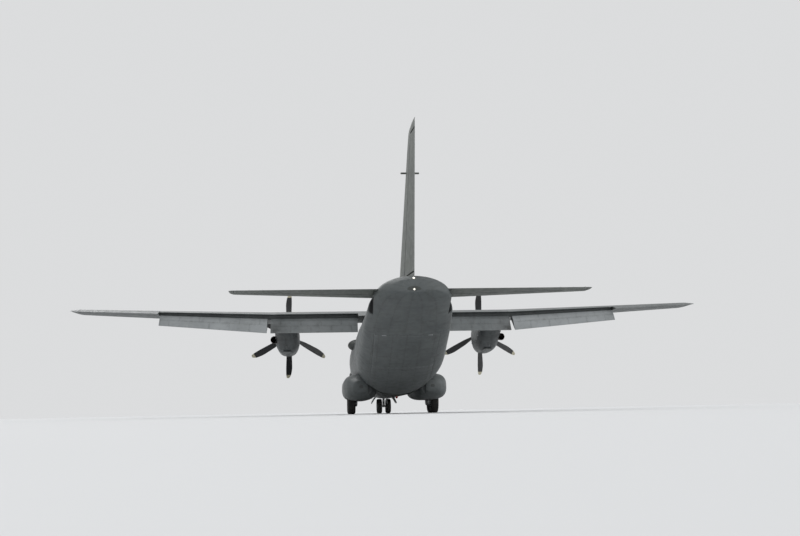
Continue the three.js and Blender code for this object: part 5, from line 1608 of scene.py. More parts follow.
hub = lathe(
    [(98, -96), (150, -100), (215, -90), (228, -70), (228, 70), (215, 92), (150, 100), (98, 96)], "y",
    (0, 0, 0), 48
)
fan = Form()
for k in range(6):
    fan.join(blade.turned(60 * k, "Y"))
radius, spin_start, spin_end = SPINNER
length = spin_end - spin_start
outline = [
    (radius * math.sqrt(1 - (1 - t) ** 2.4), -(PROP_STATION - spin_start) + t * length)
    for t in spread(0.0004, 1, 28)
]
base_y = spin_end - PROP_STATION
spinner = lathe(
    [
        (0, outline[0][1] - 1), *outline, (radius - 4, base_y + 6), (radius - 16, base_y + 6),
        (radius - 16, base_y - 40), *[(max(r - 16, 0), y + 14) for r, y in reversed(outline[3:-4])],
        (0, outline[2][1] + 14)
    ],
    "y", (0, 0, 0), 72
)
cuffs = Form()
for k in range(6):
    cuffs.join(
        lathe([(0, -520), (122, -520), (122, -180), (0, -180)], "z", (0, 0, 0), 32).turned(60 * k, "Y")
    )
backplate = lathe([(152, 97), (150, 112), (290, 112), (300, 104), (290, 97), (152, 97)], "y", (0, 0, 0), 64)
for side, sign in (("port", 1), ("starboard", -1)):
    there = {"x": sign * PROP_X, "y": aft(PROP_STATION), "z": PROP_Z}
    piece(
        f"propeller_blades_{side}", fan.shifted(**there), f"rotor_{side}", [BLADES, BLADE_TIPS],
        f"propeller_{side}"
    )
    piece(f"propeller_hub_{side}", hub.shifted(**there), f"rotor_{side}", METAL)
    piece(
        f"spinner_shell_{side}", spinner.shifted(**there), f"rotor_{side}", BLADES,
        f"spinner_{side}", cuts=[cuffs.shifted(**there)]
    )
    piece(f"spinner_plate_{side}", backplate.shifted(**there), f"rotor_{side}", METAL)


# Wheels


def tyre_outline(radius, width, rim, grooves):
    """A tyre's section with a crowned tread and round grooves."""
    half = width / 2
    side = [
        (rim, -half * 0.72), (rim + 12, -half * 0.82), (rim + (radius - rim) * 0.35, -half * 0.97),
        (rim + (radius - rim) * 0.6, -half), (rim + (radius - rim) * 0.82, -half * 0.93),
        (radius - 14, -half * 0.76)
    ]
    tread = []
    reach = half * 0.62
    for k in range(grooves + 1):
        a, b = mix(-reach, reach, k / (grooves + 1)), mix(-reach, reach, (k + 1) / (grooves + 1))
        crown = [radius - 6 * (x / reach) ** 2 for x in (a, b)]
        tread += [(crown[0], a + 4), (crown[1], b - 4)]
        if k < grooves:
            tread += [(crown[1] - 10, b - 2.5), (crown[1] - 10, b + 2.5)]
    other = [(r, -x) for r, x in reversed(side)]
    return side + tread + other + [(rim - 2, half * 0.6), (rim - 2, -half * 0.6)]


def wheel_outline(rim, half, bore):
    """A forged wheel: bead flanges, a drop centre and a dished web."""
    out = [
        (bore, -half * 0.5), (bore + 34, -half * 0.54), (bore + 44, -half * 0.36),
        (rim * 0.62, -half * 0.26), (rim * 0.78, -half * 0.5), (rim - 22, -half * 0.74),
        (rim - 4, -half * 0.8), (rim + 9, -half * 0.84), (rim + 9, -half * 0.72), (rim - 5, -half * 0.62)
    ]
    return out + [(r, -x) for r, x in reversed(out)] + [(bore, -half * 0.5)]


def wheel(rim, half, bore, bolts):
    form = lathe(wheel_outline(rim, half, bore), "x", (0, 0, 0), 72)
    for angle in angles(bolts):
        for side in (-1, 1):
            at = (side * half * 0.33, rim * 0.66 * math.cos(angle), rim * 0.66 * math.sin(angle))
            form.join(lathe([(0, -8), (9, -8), (9, 5), (6, 9), (0, 9)], "x", at, 6))
    return form


nose_station, nose_radius, nose_width, nose_apart, nose_rim = NOSE_WHEEL
for side, sign in (("port", 1), ("starboard", -1)):
    place = (sign * nose_apart, aft(nose_station), nose_radius)
    tyre = lathe(tyre_outline(nose_radius, nose_width, nose_rim, 3), "x", place, 96, closed=True)
    piece(f"nose_tread_{side}", tyre, "nose_wheels", TYRE, f"nose_tyre_{side}")
nose_wheels = Form()
for sign in (1, -1):
    nose_wheels.join(
        wheel(nose_rim, nose_width / 2, 30, 8).shifted(sign * nose_apart, aft(nose_station), nose_radius)
    )
nose_wheels.join(tube(
    [(-nose_apart - 40, aft(nose_station), nose_radius), (nose_apart + 40, aft(nose_station), nose_radius)],
    33, 24
))
piece("nose_wheel_rims", nose_wheels, "nose_wheels", METAL, "nose_rims")
stations, main_radius, main_width, main_x, main_rim = MAIN_WHEEL
for row, station in zip(("fore", "aft"), stations):
    place = {"x": main_x, "y": aft(station), "z": main_radius}
    tyre = lathe(
        tyre_outline(main_radius, main_width, main_rim, 4), "x", (0, 0, 0), 110, closed=True
    ).shifted(**place)
    pair(f"main_tread_{row}", tyre, f"main_wheel_{row}_{{side}}", TYRE, f"main_tyre_{row}")
    pair(
        f"main_wheel_rim_{row}", wheel(main_rim, main_width / 2, 50, 9).shifted(**place),
        f"main_wheel_{row}_{{side}}", METAL, f"main_rim_{row}"
    )


# Carried-over frame parts keep their shape and get soft edges and real finishes

CARRIED = {
    "cockpit_floor": (INTERIOR, 4), "instrument_panel": (DARK, 8), "cargo_floor": (INTERIOR, 3),
    "engine_port": (ENGINE, 5), "engine_starboard": (ENGINE, 5), "nose_leg": (GEAR, 4),
    "nose_fork": (GEAR, 4), "main_gear_legs_port": (GEAR, 5), "main_gear_legs_starboard": (GEAR, 5),
}
for name, (finish, width) in CARRIED.items():
    thing = nodes[name]
    for holder in thing.material_slots:
        holder.material = finish
    if not thing.material_slots:
        thing.data.materials.append(finish)
    bevel = thing.modifiers.new("soft_edges", "BEVEL")
    bevel.width, bevel.segments = width * MM, 2
    bevel.limit_method, bevel.angle_limit = "ANGLE", math.radians(40)
    bevel.use_clamp_overlap = True


# Bulges, bays and the tail's inner ribs

hull_inside = Form().loft([hull_ring(section(s), 6, 64) for s in steps(700, 21100, 150)])
hull_inner = Form().loft([hull_ring(section(s), 45, 64) for s in steps(1200, 20900, 150)])
bulges = Form()
for x, station, z, *reach in BLISTERS:
    bulges.join(ball((x, aft(station), z), reach))
piece("side_blisters", bulges, "airframe", COMPOSITE, cuts=[hull_inner])

well = block(
    -bay_half - bay_wall, bay_half + bay_wall, aft(bay_start) - bay_wall, aft(bay_end) + bay_wall, 650,
    bay_roof + bay_wall
)
piece("nose_bay_box", well, "airframe", BAY, keep=hull_inside,
      cuts=[block(-bay_half, bay_half, aft(bay_start), aft(bay_end), 300, bay_roof)])
bay_frames = Form()
for s in steps(bay_start + 120, bay_end - 120, 230):
    bay_frames.join(block(-bay_half - 4, bay_half + 4, aft(s) - 9, aft(s) + 9, bay_roof - 26, bay_roof + 4))
    for side in (1, -1):
        bay_frames.join(block(
            *sorted((side * (bay_half + 4), side * (bay_half - 22))), aft(s) - 9, aft(s) + 9, 900,
            bay_roof - 26
        ))
for x in (-250, -130, 180, 270):
    bay_frames.join(tube(
        [(x, aft(bay_start) + 6, bay_roof - 52), (x, aft(bay_end) - 6, bay_roof - 52)], 9, 10
    ))
piece("nose_bay_frames", bay_frames, "airframe", BAY)

wheel_frames = Form()
for s in steps(b_start + 130, b_end - 130, 270):
    wheel_frames.join(block(b_in + 120, b_out + 4, aft(s) - 10, aft(s) + 10, b_roof - 28, b_roof + 4))
    wheel_frames.join(block(b_out - 20, b_out + 4, aft(s) - 10, aft(s) + 10, 820, b_roof - 28))
for x, z in ((b_in + 250, b_roof - 48), (b_in + 300, b_roof - 48), (b_out - 70, b_roof - 60)):
    wheel_frames.join(tube([(x, aft(b_start) + 8, z), (x, aft(b_end) - 8, z)], 10, 10))
pair("wheel_bay_frames", wheel_frames, "airframe", BAY)

rib_in, rib_out = ELEVATOR[0] - 34, ELEVATOR[0] - 10
tail_rib = prism(
    "z",
    [
        (rib_in, aft(19572)), (1700, aft(19572)), (1700, aft(19597)), (rib_out, aft(19597)),
        (rib_out, aft(20880)), (rib_in, aft(20880))
    ],
    3000, 5000
)
piece("tail_root_ribs", both(tail_rib), "airframe", TAIL_SKIN, keep=hull_inside)


# Nose gear and main gear fittings


def collar(at, axis, radius, half):
    """A clamp ring round a leg or a pipe."""
    return lathe(
        [
            (radius - 6, -half), (radius, -half), (radius + 7, -half * 0.6), (radius + 7, half * 0.6),
            (radius, half), (radius - 6, half), (radius - 6, -half)
        ],
        axis, at, 24
    )


nose_y = aft(nose_station)
piece("nose_piston", tube([(0, nose_y, 425), (0, nose_y, 779)], 59, 32), "nose_strut", CHROME)
fork_parts = Form()
for z in (792, 838):
    fork_parts.join(collar((0, nose_y, z), "z", 106, 9))
fork_parts.join(tube([(-30, nose_y + 70, 812), (30, nose_y + 70, 812)], 30, 16))
fork_parts.join(tube([(-46, nose_y + 210, 640), (46, nose_y + 210, 640)], 19, 16))
fork_parts.join(tube([(-40, nose_y + 52, 478), (40, nose_y + 52, 478)], 21, 16))
fork_parts.join(tube([(0, nose_y - 40, 405), (0, nose_y - 92, 405)], [26, 22], 14))
fork_parts.join(lathe([(18, -9), (34, -9), (34, 9), (18, 9), (18, -9)], "x", (0, nose_y - 108, 405), 20))
piece("nose_fork_fittings", fork_parts, "nose_strut", METAL)

leg_parts, lamp_cups, lamp_lenses = Form(), Form(), Form()
for z in (905, 1010, 1180, 1330):
    leg_parts.join(collar((0, nose_y, z), "z", 82, 12))
for angle in (0.6, 1.0, 2.3):
    x, y = 96 * math.cos(angle), nose_y + 96 * math.sin(angle)
    leg_parts.join(tube(
        smooth_path([(x, y, 890), (x, y, 1200), (x * 1.05, y + 10, 1400), (x * 1.6, y + 60, 1500)], 5), 6.5,
        8
    ))
for side in (1, -1):
    leg_parts.join(tube([(side * 150, nose_y + 150, 1005), (side * 40, nose_y + 60, 1005)], [24, 20], 14))
    leg_parts.join(tube([(side * 85, nose_y, 1095), (side * 150, nose_y - 62, 1095)], 13, 10))
    lamp_cups.join(lathe(
        [(0, 42), (30, 40), (58, 22), (72, -22), (76, -30), (70, -32), (66, -24), (0, -20)], "y",
        (side * 168, nose_y - 92, 1095), 28
    ))
    lamp_lenses.join(lathe(
        [(0, -34), (30, -33), (60, -28), (66, -24), (64, -19), (0, -19)], "y",
        (side * 168, nose_y - 92, 1095), 28
    ))
leg_parts.join(tube([(-150, nose_y + 150, 1005), (150, nose_y + 150, 1005)], 27, 16))
piece("nose_leg_fittings", leg_parts, "airframe", METAL)
piece("taxi_lamp_cups", lamp_cups, "airframe", METAL)
piece("taxi_lamp_lenses", lamp_lenses, "airframe", LANDING_LIGHT)

door_parts = Form()
door_start, door_end, drop, splay, door_thick = NOSE_DOOR
lean_out = math.radians(splay)


def door_point(down, out, y):
    """A point of the open nose gear door, down from its hinge and out from its inner face."""
    out += DOOR_BOW * math.sin(math.pi * max(0, min(1, down / drop)))
    return (
        bay_half + 8 + down * math.sin(lean_out) + out * math.cos(lean_out), y,
        DOOR_TOP - down * math.cos(lean_out) + out * math.sin(lean_out)
    )


panel_rings = []
for s in steps(door_start, door_end, 60):
    near_end = min(s - door_start, door_end - s)
    reach = drop * (1 - 0.16 * max(0, 1 - near_end / 110) ** 2)
    downs = [reach * i / 14 for i in range(15)]
    inner_line = [door_point(d, 0, aft(s)) for d in downs]
    outer_line = [door_point(d, door_thick, aft(s)) for d in reversed(downs)]
    panel_rings.append(inner_line + outer_line)
door_panel = Form().loft(panel_rings)
door_frames = Form()
for s in steps(door_start + 110, door_end - 110, 240):
    ring = [
        door_point(40, 2, 0), door_point(drop - 70, 2, 0), door_point(drop - 80, -14, 0),
        door_point(50, -14, 0)
    ]
    door_frames.join(Form().loft([[(x, aft(s) + d, z) for x, _, z in ring] for d in (-14, 14)]))
for down in (70, drop - 90):
    ring = [
        door_point(down - 14, 2, 0), door_point(down + 14, 2, 0), door_point(down + 14, -12, 0),
        door_point(down - 14, -12, 0)
    ]
    door_frames.join(
        Form().loft([[(x, aft(s), z) for x, _, z in ring] for s in (door_start + 60, door_end - 60)])
    )
pair("nose_gear_door_skin", door_panel, "airframe", FLAT_SKIN, "nose_gear_door", sharp=40)
pair("nose_gear_door_frames", door_frames, "airframe", BAY)
for s in (door_start + 150, door_end - 150):
    hinge = Vector((bay_half + 8, aft(s), DOOR_TOP))
    arm_end = hinge + Vector((math.sin(lean_out), 0, -math.cos(lean_out))) * 150
    door_parts.join(tube(
        smooth_path(
            [
                (bay_half - 14, aft(s), 930), (bay_half - 22, aft(s), 860),
                tuple(arm_end + Vector((-8, 0, 0)))
            ],
            5
        ),
        12, 10
    ))
    door_parts.join(tube([hinge - Vector((0, 46, 0)), hinge + Vector((0, 46, 0))], 15, 12))
pair("nose_door_hinges", door_parts, "airframe", METAL)

leg_x = main_x - main_width / 2 - 55
main_parts, main_chrome = Form(), Form()
for station in stations:
    axle, top = Vector((leg_x, aft(station), main_radius)), Vector((leg_x, aft(station + 60), 1100))
    main_chrome.join(tube([axle.lerp(top, 0.34), axle.lerp(top, 0.66)], 40.5, 28))
    main_parts.join(tube(
        [axle.lerp(top, 0.66), axle.lerp(top, 0.7), axle.lerp(top, 0.95)], [40, 45, 45], 28
    ))
    main_parts.join(lathe(
        [(52, -44), (146, -44), (156, -36), (156, 12), (146, 22), (52, 22), (52, -44)], "x",
        (leg_x + 26, aft(station), main_radius), 48
    ))
    for angle in angles(7, 0.5):
        middle = (leg_x - 22, aft(station) + 112 * math.cos(angle), main_radius + 112 * math.sin(angle))
        main_parts.join(lathe([(0, -10), (22, -10), (26, -4), (26, 8), (0, 8)], "x", middle, 16))
    pivot = Vector((leg_x, aft(station - 300), 1000))
    main_parts.join(tube([pivot - Vector((62, 0, 0)), pivot + Vector((46, 0, 0))], [34, 34], 18))
    pipe_run = [
        (leg_x - 40, aft(station) - 90, main_radius + 60),
        (leg_x - 58, aft(station - 170), main_radius + 200), (leg_x - 58, aft(station - 270), 900),
        (leg_x - 58, aft(station - 290), 1058)
    ]
    main_parts.join(tube(smooth_path(pipe_run, 6), 7, 8))
pair("main_gear_fittings", main_parts, "airframe", METAL)
pair("main_gear_pistons", main_chrome, "airframe", CHROME)


# Cockpit: padded seats on shells, screens and a glare shield


def pillow(wide, deep, thick, seams=(), count=22):
    """A crowned cushion whose sides pull in between its corners, with sewn channels across it."""
    turns = [math.sin(math.pi / 2 * mix(-1, 1, k / count)) for k in range(count + 1)]
    rings = []
    for v in turns:
        ring = []
        for side, line in ((1, turns), (-1, turns[::-1][1:-1])):
            for u in line:
                swell = max(0.0004, (1 - abs(u) ** 5) * (1 - abs(v) ** 5)) ** 0.4
                dent = sum(math.exp(-(((v - seam) / 0.045) ** 2)) for seam in seams) * 0.3
                ring.append((
                    u * wide / 2 * (1 - 0.04 * (1 - v * v)),
                    v * deep / 2 * (1 - 0.04 * (1 - u * u)),
                    side * thick / 2 * swell * (1 - dent if side > 0 else 0.8),
                ))
        rings.append(ring)
    return Form().loft(rings)


seat_x, seat_station, seat_half, seat_cushion, seat_back = SEAT
seat_y, seat_top = aft(seat_station), COCKPIT_FLOOR + seat_cushion
back_lean = 12
back_foot, back_head = (seat_y + 235, seat_top + 40), (seat_y + 335, COCKPIT_FLOOR + seat_back)
seat_shell = prism(
    "x",
    rounded(
        [
            (seat_y - 222, seat_top - 104), (seat_y + 252, seat_top - 128),
            (back_head[0] + 58, back_head[1] - 60), (back_head[0] + 22, back_head[1] - 10),
            (back_foot[0] + 8, back_foot[1] - 60), (seat_y - 215, seat_top - 74)
        ],
        34
    ),
    seat_x - seat_half + 12, seat_x + seat_half - 12
)
seat_shell.join(block(
    seat_x - 118, seat_x + 118, seat_y - 130, seat_y + 130, COCKPIT_FLOOR + 34, seat_top - 96
))
for side in (-1, 1):
    seat_shell.join(block(
        seat_x + side * 96 - 18, seat_x + side * 96 + 18, seat_y - 225, seat_y + 235, COCKPIT_FLOOR + 1,
        COCKPIT_FLOOR + 34
    ))
pair("pilot_seat_frame", seat_shell, "airframe", METAL, "pilot_seat")
cushions = {
    "base": (pillow(400, 400, 96, (-0.35, 0.35)), 3, (seat_x, seat_y - 20, seat_top - 44)),
    "back": (
        pillow(390, 500, 84, (-0.6, -0.2, 0.2, 0.6)), 90 - back_lean, (seat_x, seat_y + 262, seat_top + 310)
    ),
    "head": (pillow(250, 150, 74), 90 - back_lean, (seat_x, seat_y + 326, seat_top + 612)),
}
for part, (form, lean, spot) in cushions.items():
    for side, sign in (("port", 1), ("starboard", -1)):
        cushion = piece(
            f"seat_{part}_cushion_{side}", form.turned(lean, "X").shifted(sign * spot[0], spot[1], spot[2]),
            "airframe", SEAT_CLOTH
        )
straps = Form()
for dx in (-70, 70):
    strap_path = smooth_path(
        [
            (seat_x + dx * 0.7, seat_y + 330, seat_top + 560), (seat_x + dx, seat_y + 214, seat_top + 460),
            (seat_x + dx, seat_y + 168, seat_top + 260), (seat_x + dx * 0.5, seat_y + 60, seat_top + 30)
        ],
        5
    )
    straps.join(tube(strap_path, 22, 8, flat=0.12, up=Vector((0, -1, 0.3))))
straps.join(lathe(
    [(0, -12), (30, -12), (34, 0), (28, 12), (0, 12)], "z", (seat_x, seat_y + 40, seat_top + 22), 20
))
pair("seat_harness", straps, "airframe", BELT)

screens, bezels = Form(), Form()
panel_low = Vector((0, aft(2120) - 1, COCKPIT_FLOOR + 500))
panel_high = Vector((0, aft(2010) - 1, COCKPIT_FLOOR + 960))
panel_up = (panel_high - panel_low).normalized()
panel_out = Vector((0, panel_up.z, -panel_up.y))


def on_panel(x, up, out):
    return panel_low + Vector((x, 0, 0)) + panel_up * up + panel_out * out


for x in (-760, -480, 0, 480, 760):
    frame_ring = rounded([(x - 118, 130), (x + 118, 130), (x + 118, 390), (x - 118, 390)], 18, 3)
    glass_ring = rounded([(x - 100, 150), (x + 100, 150), (x + 100, 370), (x - 100, 370)], 8, 3)
    bezels.join(Form().loft([[on_panel(u, v, d) for u, v in frame_ring] for d in (-2, 9)]))
    screens.join(Form().loft([[on_panel(u, v, d) for u, v in glass_ring] for d in (0, 11)]))
for side in (-1, 1):
    for k in range(6):
        at = on_panel(side * 235, 130 + k * 46, 5)
        bezels.join(ball(tuple(at), (11, 11, 11), 10, 6))
piece("panel_bezels", bezels, "airframe", METAL)
piece("panel_screens", screens, "airframe", SCREEN)
shield = [
    (aft(1640), COCKPIT_FLOOR + 962), (aft(2040), COCKPIT_FLOOR + 962), (aft(2150), COCKPIT_FLOOR + 940),
    (aft(2156), COCKPIT_FLOOR + 950), (aft(2050), COCKPIT_FLOOR + 986), (aft(1640), COCKPIT_FLOOR + 982)
]
piece("glare_shield", prism("x", shield, -930, 930), "airframe", DARK, keep=hull_inner)


# Hold: frames, roller rails, tie-down rings, ramp treads and the crew door's steps


def hold_frame(s, wall, deep, half=13):
    """A hoop frame inside the hull's wall."""
    return Form().loft(
        [
            hull_ring(section(s + d), wall + inset, 64)
            for d, inset in ((-half, -4), (-half, deep), (half, deep), (half, -4))
        ],
        caps=(False, False), loop=True
    )


frames_made = Form()
for s in steps(5600, 12100, 540):
    frames_made.join(hold_frame(s, WALL, 45))
piece(
    "hold_frames", frames_made, "airframe", INTERIOR,
    cuts=[holes, block(-1250, 1250, aft(5000), aft(12300), 500, FLOOR_TOP - 2)]
)
RAMP_BAY_FRAMES = (12560, 13640, 14100, 14600, 15200, 15800, 16400, 17000, 17600)
frames_made = Form()
for s in RAMP_BAY_FRAMES:
    frames_made.join(hold_frame(s, AFT_WALL, 60))
piece("ramp_bay_frames", frames_made, "airframe", INTERIOR, cuts=[rear_opening, rear_room])
rails = Form()
for x in (-820, -420, 420, 820):
    rails.join(prism(
        "y",
        rounded(
            [(x - 34, FLOOR_TOP), (x + 34, FLOOR_TOP), (x + 28, FLOOR_TOP + 7), (x - 28, FLOOR_TOP + 7)], 3,
            2
        ),
        aft(4300), aft(12350)
    ))
for s in steps(4600, 12000, 620):
    for x in (-1020, -620, 0, 620, 1020):
        rails.join(lathe([(28, 0), (40, 0), (38, 5), (30, 5), (28, 0)], "z", (x, aft(s), FLOOR_TOP), 18))
piece("floor_rails", rails, "airframe", METAL)


def on_ramp(s, lift=0.0):
    return FLOOR_TOP + (s - ramp_front) * ramp_rise + lift


treads = Form()
for s in steps(ramp_front + 160, RAMP_END - 220, 240):
    for x in (-760, 760):
        ring = [
            (aft(s) - 16, on_ramp(s - 16, -3)), (aft(s) + 16, on_ramp(s + 16, -3)),
            (aft(s) + 12, on_ramp(s + 12, 9)), (aft(s) - 12, on_ramp(s - 12, 9))
        ]
        treads.join(prism("x", ring, x - 330, x + 330))
for x in (-420, 420):
    ring = [(x - 30, -3), (x + 30, -3), (x + 26, 7), (x - 26, 7)]
    treads.join(
        Form().loft([
            [(u, aft(s), on_ramp(s, v)) for u, v in ring] for s in (ramp_front + 60, RAMP_END - 160)
        ])
    )
piece("ramp_treads", treads, "cargo_ramp", METAL)

# The crew door's steps: their heights and half length
STEP_HEIGHTS, STEP_HALF = (1560, 1800, 2040, 2280), 260
door_middle = (CREW_DOOR[0] + CREW_DOOR[1]) / 2
treads = Form()
for z in STEP_HEIGHTS:
    reach = flank(door_middle, z) - 104
    ring = rounded([(reach - 135, z), (reach, z - 26), (reach, z + 4), (reach - 130, z + 14)], 8, 3)
    treads.join(prism("y", ring, aft(door_middle - STEP_HALF), aft(door_middle + STEP_HALF)))
for s in (door_middle - STEP_HALF - 10, door_middle + STEP_HALF + 10):
    points = [(flank(door_middle, z) - 128, aft(s), z) for z in (1480, 1700, 1950, 2200, 2420)]
    treads.join(tube(smooth_path(points, 4), 14, 10))
piece("crew_door_steps", treads, "crew_door_panel", METAL)


# Small outside fittings


def crest(s, x=0.0):
    """The height of the hull's upper skin."""
    _, half, top, widest, _, _ = section(s)
    return widest + (top - widest) * math.sqrt(max(0.0, 1 - (x / half) ** 2))


def blade_aerial(x, s, z, height, chord):
    """A swept blade aerial on its foot plate; a height below zero points down."""
    rings = []
    for share, width in (
        (-0.12, 1.0), (0, 1.0), (0.3, 0.86), (0.6, 0.72), (0.85, 0.58), (0.96, 0.44), (1, 0.3)
    ):
        y = aft(s) + abs(height) * 0.42 * share
        half = chord * width / 2
        ring = [
            (x + half * 0.2 * math.sin(t), y + half * math.cos(t), z + height * share)
            for t in steps(0, 2 * math.pi * 15 / 16, 2 * math.pi / 16)
        ]
        rings.append(ring)
    made = Form().loft(rings)
    foot = [
        (x + chord * 0.34 * math.sin(t), aft(s) + chord * 0.62 * math.cos(t))
        for t in steps(0, 2 * math.pi * 19 / 20, 2 * math.pi / 20)
    ]
    return made.join(prism("z", foot, z - 12, z + 6))


# Aerials: distance from the middle, station, height and chord; the domes are only places
TOP_AERIALS = ((0, 5450, 330, 300), (0, 12650, 300, 280), (-350, 4500, 150, 160))
BELLY_AERIALS = ((0, 5700, -260, 260), (260, 7200, -150, 150), (0, 10900, -250, 240))
TOP_DOMES = ((0, 4900), (300, 13600), (-300, 13600))
BELLY_BEACON, TOP_BEACON, TOP_BEACON_HEIGHT = 12230, 9100, 4600
TAIL_EYES, TAIL_EYE_STATION = (-430, 0, 430), 20700
# Pitot tubes and flush plate: station and height; drain mast: distance from the middle and station
PITOTS, SIDE_PLATE, DRAIN_MAST = ((1320, 2240), (1500, 2060)), (2050, 2120), (620, 11600)
# Tail lamps: station, height, radius and depth; tip lens: span and chord share; landing lamp: station
TAIL_LAMPS = ((21120, 4508, 42, 60), (21190, 4120, 46, 70))
TIP_LENS, LANDING_LAMP = (14215, 0.05), 6256
# Tank covers: start, end and spacing across the wing; hatches: start and end station, half width
TANK_COVERS = ((1950, 4100, 430), (5750, 13500, 470))
HATCHES = ((4250, 4850, 300), (14200, 14900, 330))
# Door handles: station and height
CREW_HANDLE, SIDE_HANDLE = (4740, 2120), (13380, 2250)

aerials = Form()
for x, s, height, chord in TOP_AERIALS:
    aerials.join(blade_aerial(x, s, crest(s, x), height, chord))
for x, s, height, chord in BELLY_AERIALS:
    aerials.join(blade_aerial(x, s, underside(s, x), height, chord))
for x, s in TOP_DOMES:
    aerials.join(lathe(
        [(0, -10), (75, -10), (72, 6), (55, 22), (28, 30), (0, 32)], "z", (x, aft(s), crest(s, x)), 28
    ))
piece("aerials", aerials, "airframe", COMPOSITE)

probes = Form()
for side in (1, -1):
    for s, z in PITOTS:
        face = flank(s, z)
        path = [
            (side * (face - 12), aft(s), z), (side * (face + 60), aft(s), z),
            (side * (face + 88), aft(s) - 30, z), (side * (face + 92), aft(s) - 250, z)
        ]
        probes.join(tube(smooth_path(path, 5), [13] * 12 + [9] * 4, 12))
        probes.join(ball((side * face, aft(s), z), (9, 46, 30), 18, 8))
    s, z = SIDE_PLATE
    face = flank(s, z)
    plug = lathe([(0, -8), (38, -8), (36, 5), (0, 7)], "x", (face, aft(s), z), 24)
    probes.join(plug if side > 0 else plug.mirrored())
    vane_points = ((4, -14, 6), (4, 22, 6), (92, 60, 10), (92, 34, 10))
    vane = [(side * (face + out), aft(s) + back, z + up) for out, back, up in vane_points]
    probes.join(Form().loft([vane, [(x, y, z + 7) for x, y, z in vane]]))
    x, s = DRAIN_MAST
    z = underside(s, x)
    mast = [(side * x, aft(s), z + 20), (side * x, aft(s + 40), z - 110)]
    probes.join(tube(mast, [16, 12], 10))
piece("probes", probes, "airframe", METAL)


def dome(centre, axis, radius, height, seat=10):
    """A round lens; a height below zero points down the axis."""
    rows = [
        (radius * math.cos(math.pi / 2 * k / 7), height * math.sin(math.pi / 2 * k / 7)) for k in range(8)
    ]
    return lathe(
        [(0, -math.copysign(seat, height)), (radius, -math.copysign(seat, height)), *rows], axis, centre, 28
    )


belly_z = underside(BELLY_BEACON, 0)
beacons = dome((0, aft(BELLY_BEACON), belly_z - 8), "z", 62, -95)
beacons.join(dome((0, aft(TOP_BEACON), TOP_BEACON_HEIGHT + 4), "z", 62, 100))
piece("beacons", beacons, "airframe", BEACON)
plates = lathe([(0, 6), (96, 6), (92, -10), (0, -12)], "z", (0, aft(BELLY_BEACON), belly_z), 32)
plates.join(lathe(
    [(0, -6), (96, -6), (92, 8), (0, 10)], "z", (0, aft(TOP_BEACON), TOP_BEACON_HEIGHT - 2), 32
))
eyes = Form()
for x in TAIL_EYES:
    foot = Vector((x, aft(TAIL_EYE_STATION), crest(TAIL_EYE_STATION, x)))
    plates.join(lathe([(0, -14), (52, -14), (50, 8), (34, 12), (0, 12)], "z", foot, 24))
    eyes.join(dome(foot + Vector((0, 0, 11)), "z", 32, 26))
piece("lamp_plates", plates, "airframe", DARK)
piece("tail_sensor_eyes", eyes, "airframe", WINDOW)
tail_lamps = Form()
for s, z, radius, depth in TAIL_LAMPS:
    tail_lamps.join(dome((0, aft(s), z), "y", radius, depth))
piece("tail_lamp", tail_lamps, "airframe", TAIL_LIGHT)
for name, side, finish in (("port", 1, NAV_RED), ("starboard", -1, NAV_GREEN)):
    lens = ball(tuple(on_wing(*TIP_LENS, 0.0)), (130, 66, 34), 22, 12)
    piece(f"wing_tip_lens_{name}", lens if side > 0 else lens.mirrored(), "airframe", finish)
lens = dome((SPONSON_X + 10, aft(LANDING_LAMP), SPONSON_Z), "y", 92, -26, 30)
pair("landing_lamp", lens, "airframe", LANDING_LIGHT)
pair(
    "landing_lamp_ring",
    lathe(
        [(90, 4), (94, -14), (106, -14), (116, 12), (90, 12), (90, 4)], "y",
        (SPONSON_X + 10, aft(LANDING_LAMP - 4), SPONSON_Z), 36
    ),
    "airframe", METAL
)


# Static wicks on the trailing edges: where along each surface

AILERON_WICKS = (10700, 11700, 12600, 13300, 13820)
ELEVATOR_WICKS = (5050, 5500, 5900)
RUDDER_WICKS = (8350, 8750, 9150)


def wick(root, length=150):
    root = Vector(root)
    return tube(
        [root, root + Vector((0, 34, 0)), root + Vector((0, 40, 0)), root + Vector((0, length, 0))],
        [5.5, 5.5, 3, 1.6], 8
    )


wicks = Form()
for x in AILERON_WICKS:
    wicks.join(wick(on_wing(x, 0.992, 0.0)))
pair("aileron_wicks", wicks, "aileron_{side}_panel", DARK)
wicks = Form()
for x in ELEVATOR_WICKS:
    wicks.join(wick(on_tail(x, 0.99, 0.0)))
pair("elevator_wicks", wicks, "elevator_{side}_panel", DARK)
wicks = Form()
for z in RUDDER_WICKS:
    wicks.join(wick(on_fin(z, 0.99, 0.0)))
piece("rudder_wicks", wicks, "rudder_panel", DARK)
cap_wicks = wick(on_fin(9480, 0.985, 0.0), 130).join(wick(on_fin(9590, 0.97, 0.0), 130))
piece("fin_tip_wicks", cap_wicks, "airframe", DARK)


# Tank covers under the wing, and hatch, handle and latch details

covers = Form()
for x in [x for row in TANK_COVERS for x in steps(*row)]:
    row = wing_row(x)
    ring_low, ring_high = [], []
    for t in angles(28):
        at_x, a = x + 95 * math.cos(t), 0.4 + 150 * math.sin(t) / row[2]
        inside_x, inside_a = x + 88 * math.cos(t), 0.4 + 143 * math.sin(t) / row[2]
        ring_low.append(on_wing(at_x, a, under(a, row[4]) + 0.001))
        ring_high.append(on_wing(inside_x, inside_a, under(inside_a, row[4])) - Vector((0, 0, 3)))
    covers.join(Form().loft([ring_low, ring_high]))
pair("tank_covers", covers, "airframe", FLAT_SKIN)

